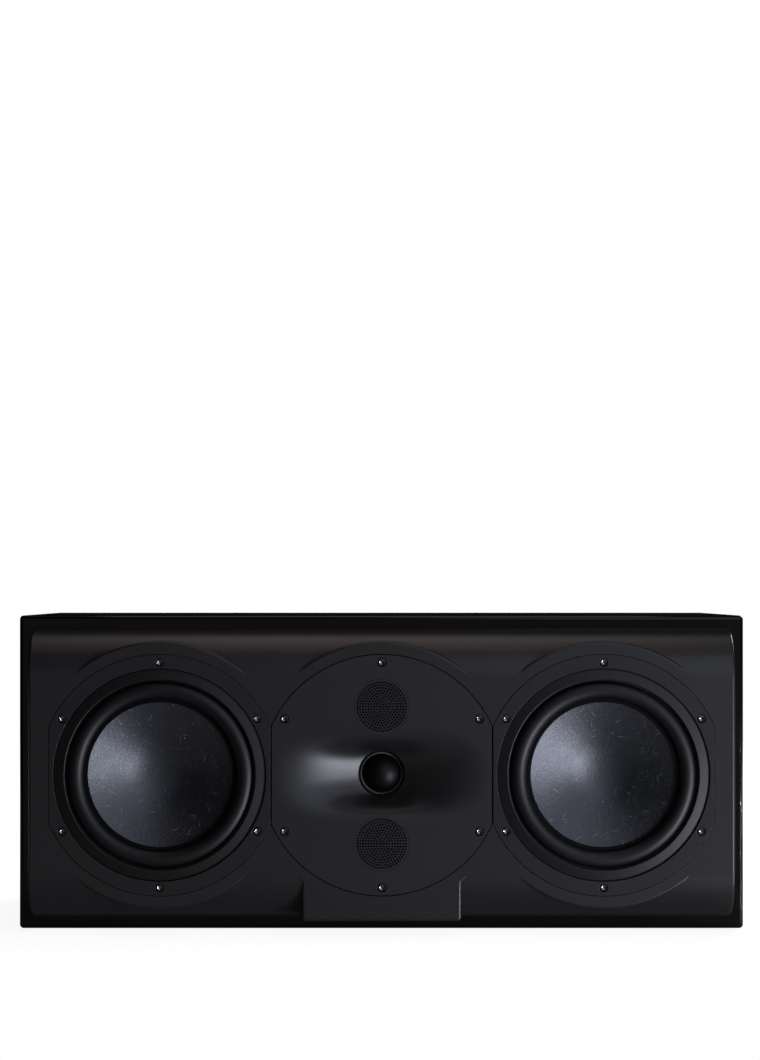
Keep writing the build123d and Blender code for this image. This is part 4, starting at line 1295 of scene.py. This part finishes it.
paper_apart = paper.tree.nodes.new("ShaderNodeSeparateXYZ")
paper.wire(paper_apart, {"Vector": paper.place})


def outside(axis, half):
    """How far a place on the paper lies outside the speaker along one axis."""
    reach = paper.math("ABSOLUTE", Signal(paper, paper_apart.outputs[axis])) - half
    return paper.math("MAXIMUM", reach, 0.0)


beside = outside("X", shell_half_width)
before = outside("Y", shell_rear_y)
gap = paper.math("SQRT", beside * beside + before * before)
# Painted shadow: the glow that the eye sees is turned down close to the speaker.
glow_with_painted_shadow = shade_least + (1 - shade_least) * paper.ramp(gap, 0.0, shade_reach)
# Painted shade in reflections: the mirrored glow fades to nearly dark towards the speaker over two metres.
mirrored_glow_with_painted_shade = mirror_least + (1 - mirror_least) * paper.ramp(gap, 0.0, mirror_reach)
seen = paper.node("ShaderNodeLightPath", output="Is Camera Ray") * glow_with_painted_shadow
for kind in ("Is Glossy Ray", "Is Transmission Ray"):
    seen = paper.math("MAXIMUM", seen, paper.node("ShaderNodeLightPath", output=kind) * mirrored_glow_with_painted_shade)
paper_grain = paper.noise(4 * mm, 2.0)
paper.set(
    {
        "Base Color": paper.tint(paper_grain, (0.40, 0.40, 0.40, 1), (0.42, 0.42, 0.42, 1)),
        "Roughness": 1.0,
        "Specular IOR Level": 0.0,
        "Emission Color": paper.tint(seen, (0, 0, 0, 1), (1, 1, 1, 1)),
        "Emission Strength": paper_glow,
    }
)
floor.data.materials.append(paper.material)

# Studio
# A dark room with white paper behind the speaker. The eye sees white all round, and polished faces see
# the paper where it stands.
scene = bpy.context.scene
scene.view_settings.view_transform = "Standard"
room_shade = (0.004, 0.004, 0.0045, 1)
room = bpy.data.worlds.new("studio")
room.use_nodes = True
scene.world = room
studio = Wiring(room.node_tree)
sky = studio.node("ShaderNodeTexCoord", output="Generated")
apart = studio.tree.nodes.new("ShaderNodeSeparateXYZ")
studio.wire(apart, {"Vector": sky})
behind = studio.ramp(Signal(studio, apart.outputs["Y"]), 0.05, 0.3)
above = studio.ramp(Signal(studio, apart.outputs["Z"]), 0.92, 0.99)
mirrored = studio.math(
    "MAXIMUM",
    studio.node("ShaderNodeLightPath", output="Is Glossy Ray"),
    studio.node("ShaderNodeLightPath", output="Is Transmission Ray"),
)
by_eye = studio.node("ShaderNodeLightPath", output="Is Camera Ray")
white_paper = studio.math("MAXIMUM", by_eye, mirrored * behind * above)
studio_tone = studio.node(
    "ShaderNodeMix", {"data_type": "RGBA"}, {0: white_paper, 6: room_shade, 7: (1, 1, 1, 1)}, 2
)
studio.wire(room.node_tree.nodes["Background"], {"Color": studio_tone})

# Lamps
# The key is an upright softbox low on the right. It lies below the speaker's base, so the floor lets it by.
# A warm bank hangs above and is dimmer on the horn plate. A weak one stands high on the right and another
# lights the rear. A dim wall behind the camera gives the flat faces their sheen.
bank_place = (0.0, -0.16, 1.6)
bank_aim = (0.0, -0.16, 0.0)
bank_colour = (1.0, 0.80, 0.77)
speaker_middle = (0.0, -0.12, axis_z)


def softbox(name, place, aim, size, glow, colour=(1, 1, 1)):
    """A rectangular lamp of that radiance, turned to a point."""
    lamp = bpy.data.lights.new(name, "AREA")
    lamp.shape = "RECTANGLE"
    lamp.size, lamp.size_y = size
    lamp.energy = glow * math.pi * size[0] * size[1]
    lamp.color = colour
    stand = bpy.data.objects.new(name, lamp)
    throw = np.array(aim) - np.array(place)
    tilt = math.atan2(math.hypot(throw[0], throw[1]), -throw[2])
    stand.location = place
    stand.rotation_euler = (tilt, 0, math.atan2(throw[1], throw[0]) - math.pi / 2)
    scene.collection.objects.link(stand)
    return stand


key = softbox("key", (1.222, -1.192, -0.375), speaker_middle, (0.6, 0.95), 13.4, (0.85, 0.88, 1.0))
key.data.cycles.use_multiple_importance_sampling = False
passing = bpy.data.collections.new("let the key by")
passing.objects.link(floor)
key.light_linking.blocker_collection = passing
passing.collection_objects[0].light_linking.link_state = "EXCLUDE"
for name, glow, link in (("bank above", 0.9, "EXCLUDE"), ("bank above the horn", 0.55, "INCLUDE")):
    bank = softbox(name, bank_place, bank_aim, (1.2, 0.8), glow, bank_colour)
    reached = bpy.data.collections.new(name)
    reached.objects.link(horn)
    bank.light_linking.receiver_collection = reached
    reached.collection_objects[0].light_linking.link_state = link
softbox("weak bank", (0.71, -1.36, 0.95), speaker_middle, (1.4, 1.4), 0.95, (0.78, 0.83, 1.0))
softbox("wall behind the camera", (0.0, -3.3, 0.2), speaker_middle, (2.6, 1.8), 0.15)
softbox("rear bank", (1.1, 1.7, 0.9), (0.0, 0.15, axis_z), (0.9, 0.9), 7.5)

# Camera
# It stands level, a little above the speaker's top, and the frame is shifted up so that the speaker
# lies low.
camera_place = (-0.009, -2.295, 0.2625)
camera = bpy.data.cameras.new("camera")
camera.lens = 96.7
camera.sensor_width = 36
camera.shift_x = 0.0097
camera.shift_y = 0.0560
camera_stand = bpy.data.objects.new("camera", camera)
camera_stand.location = camera_place
camera_stand.rotation_euler = (math.pi / 2, 0, 0)
scene.collection.objects.link(camera_stand)
scene.camera = camera_stand
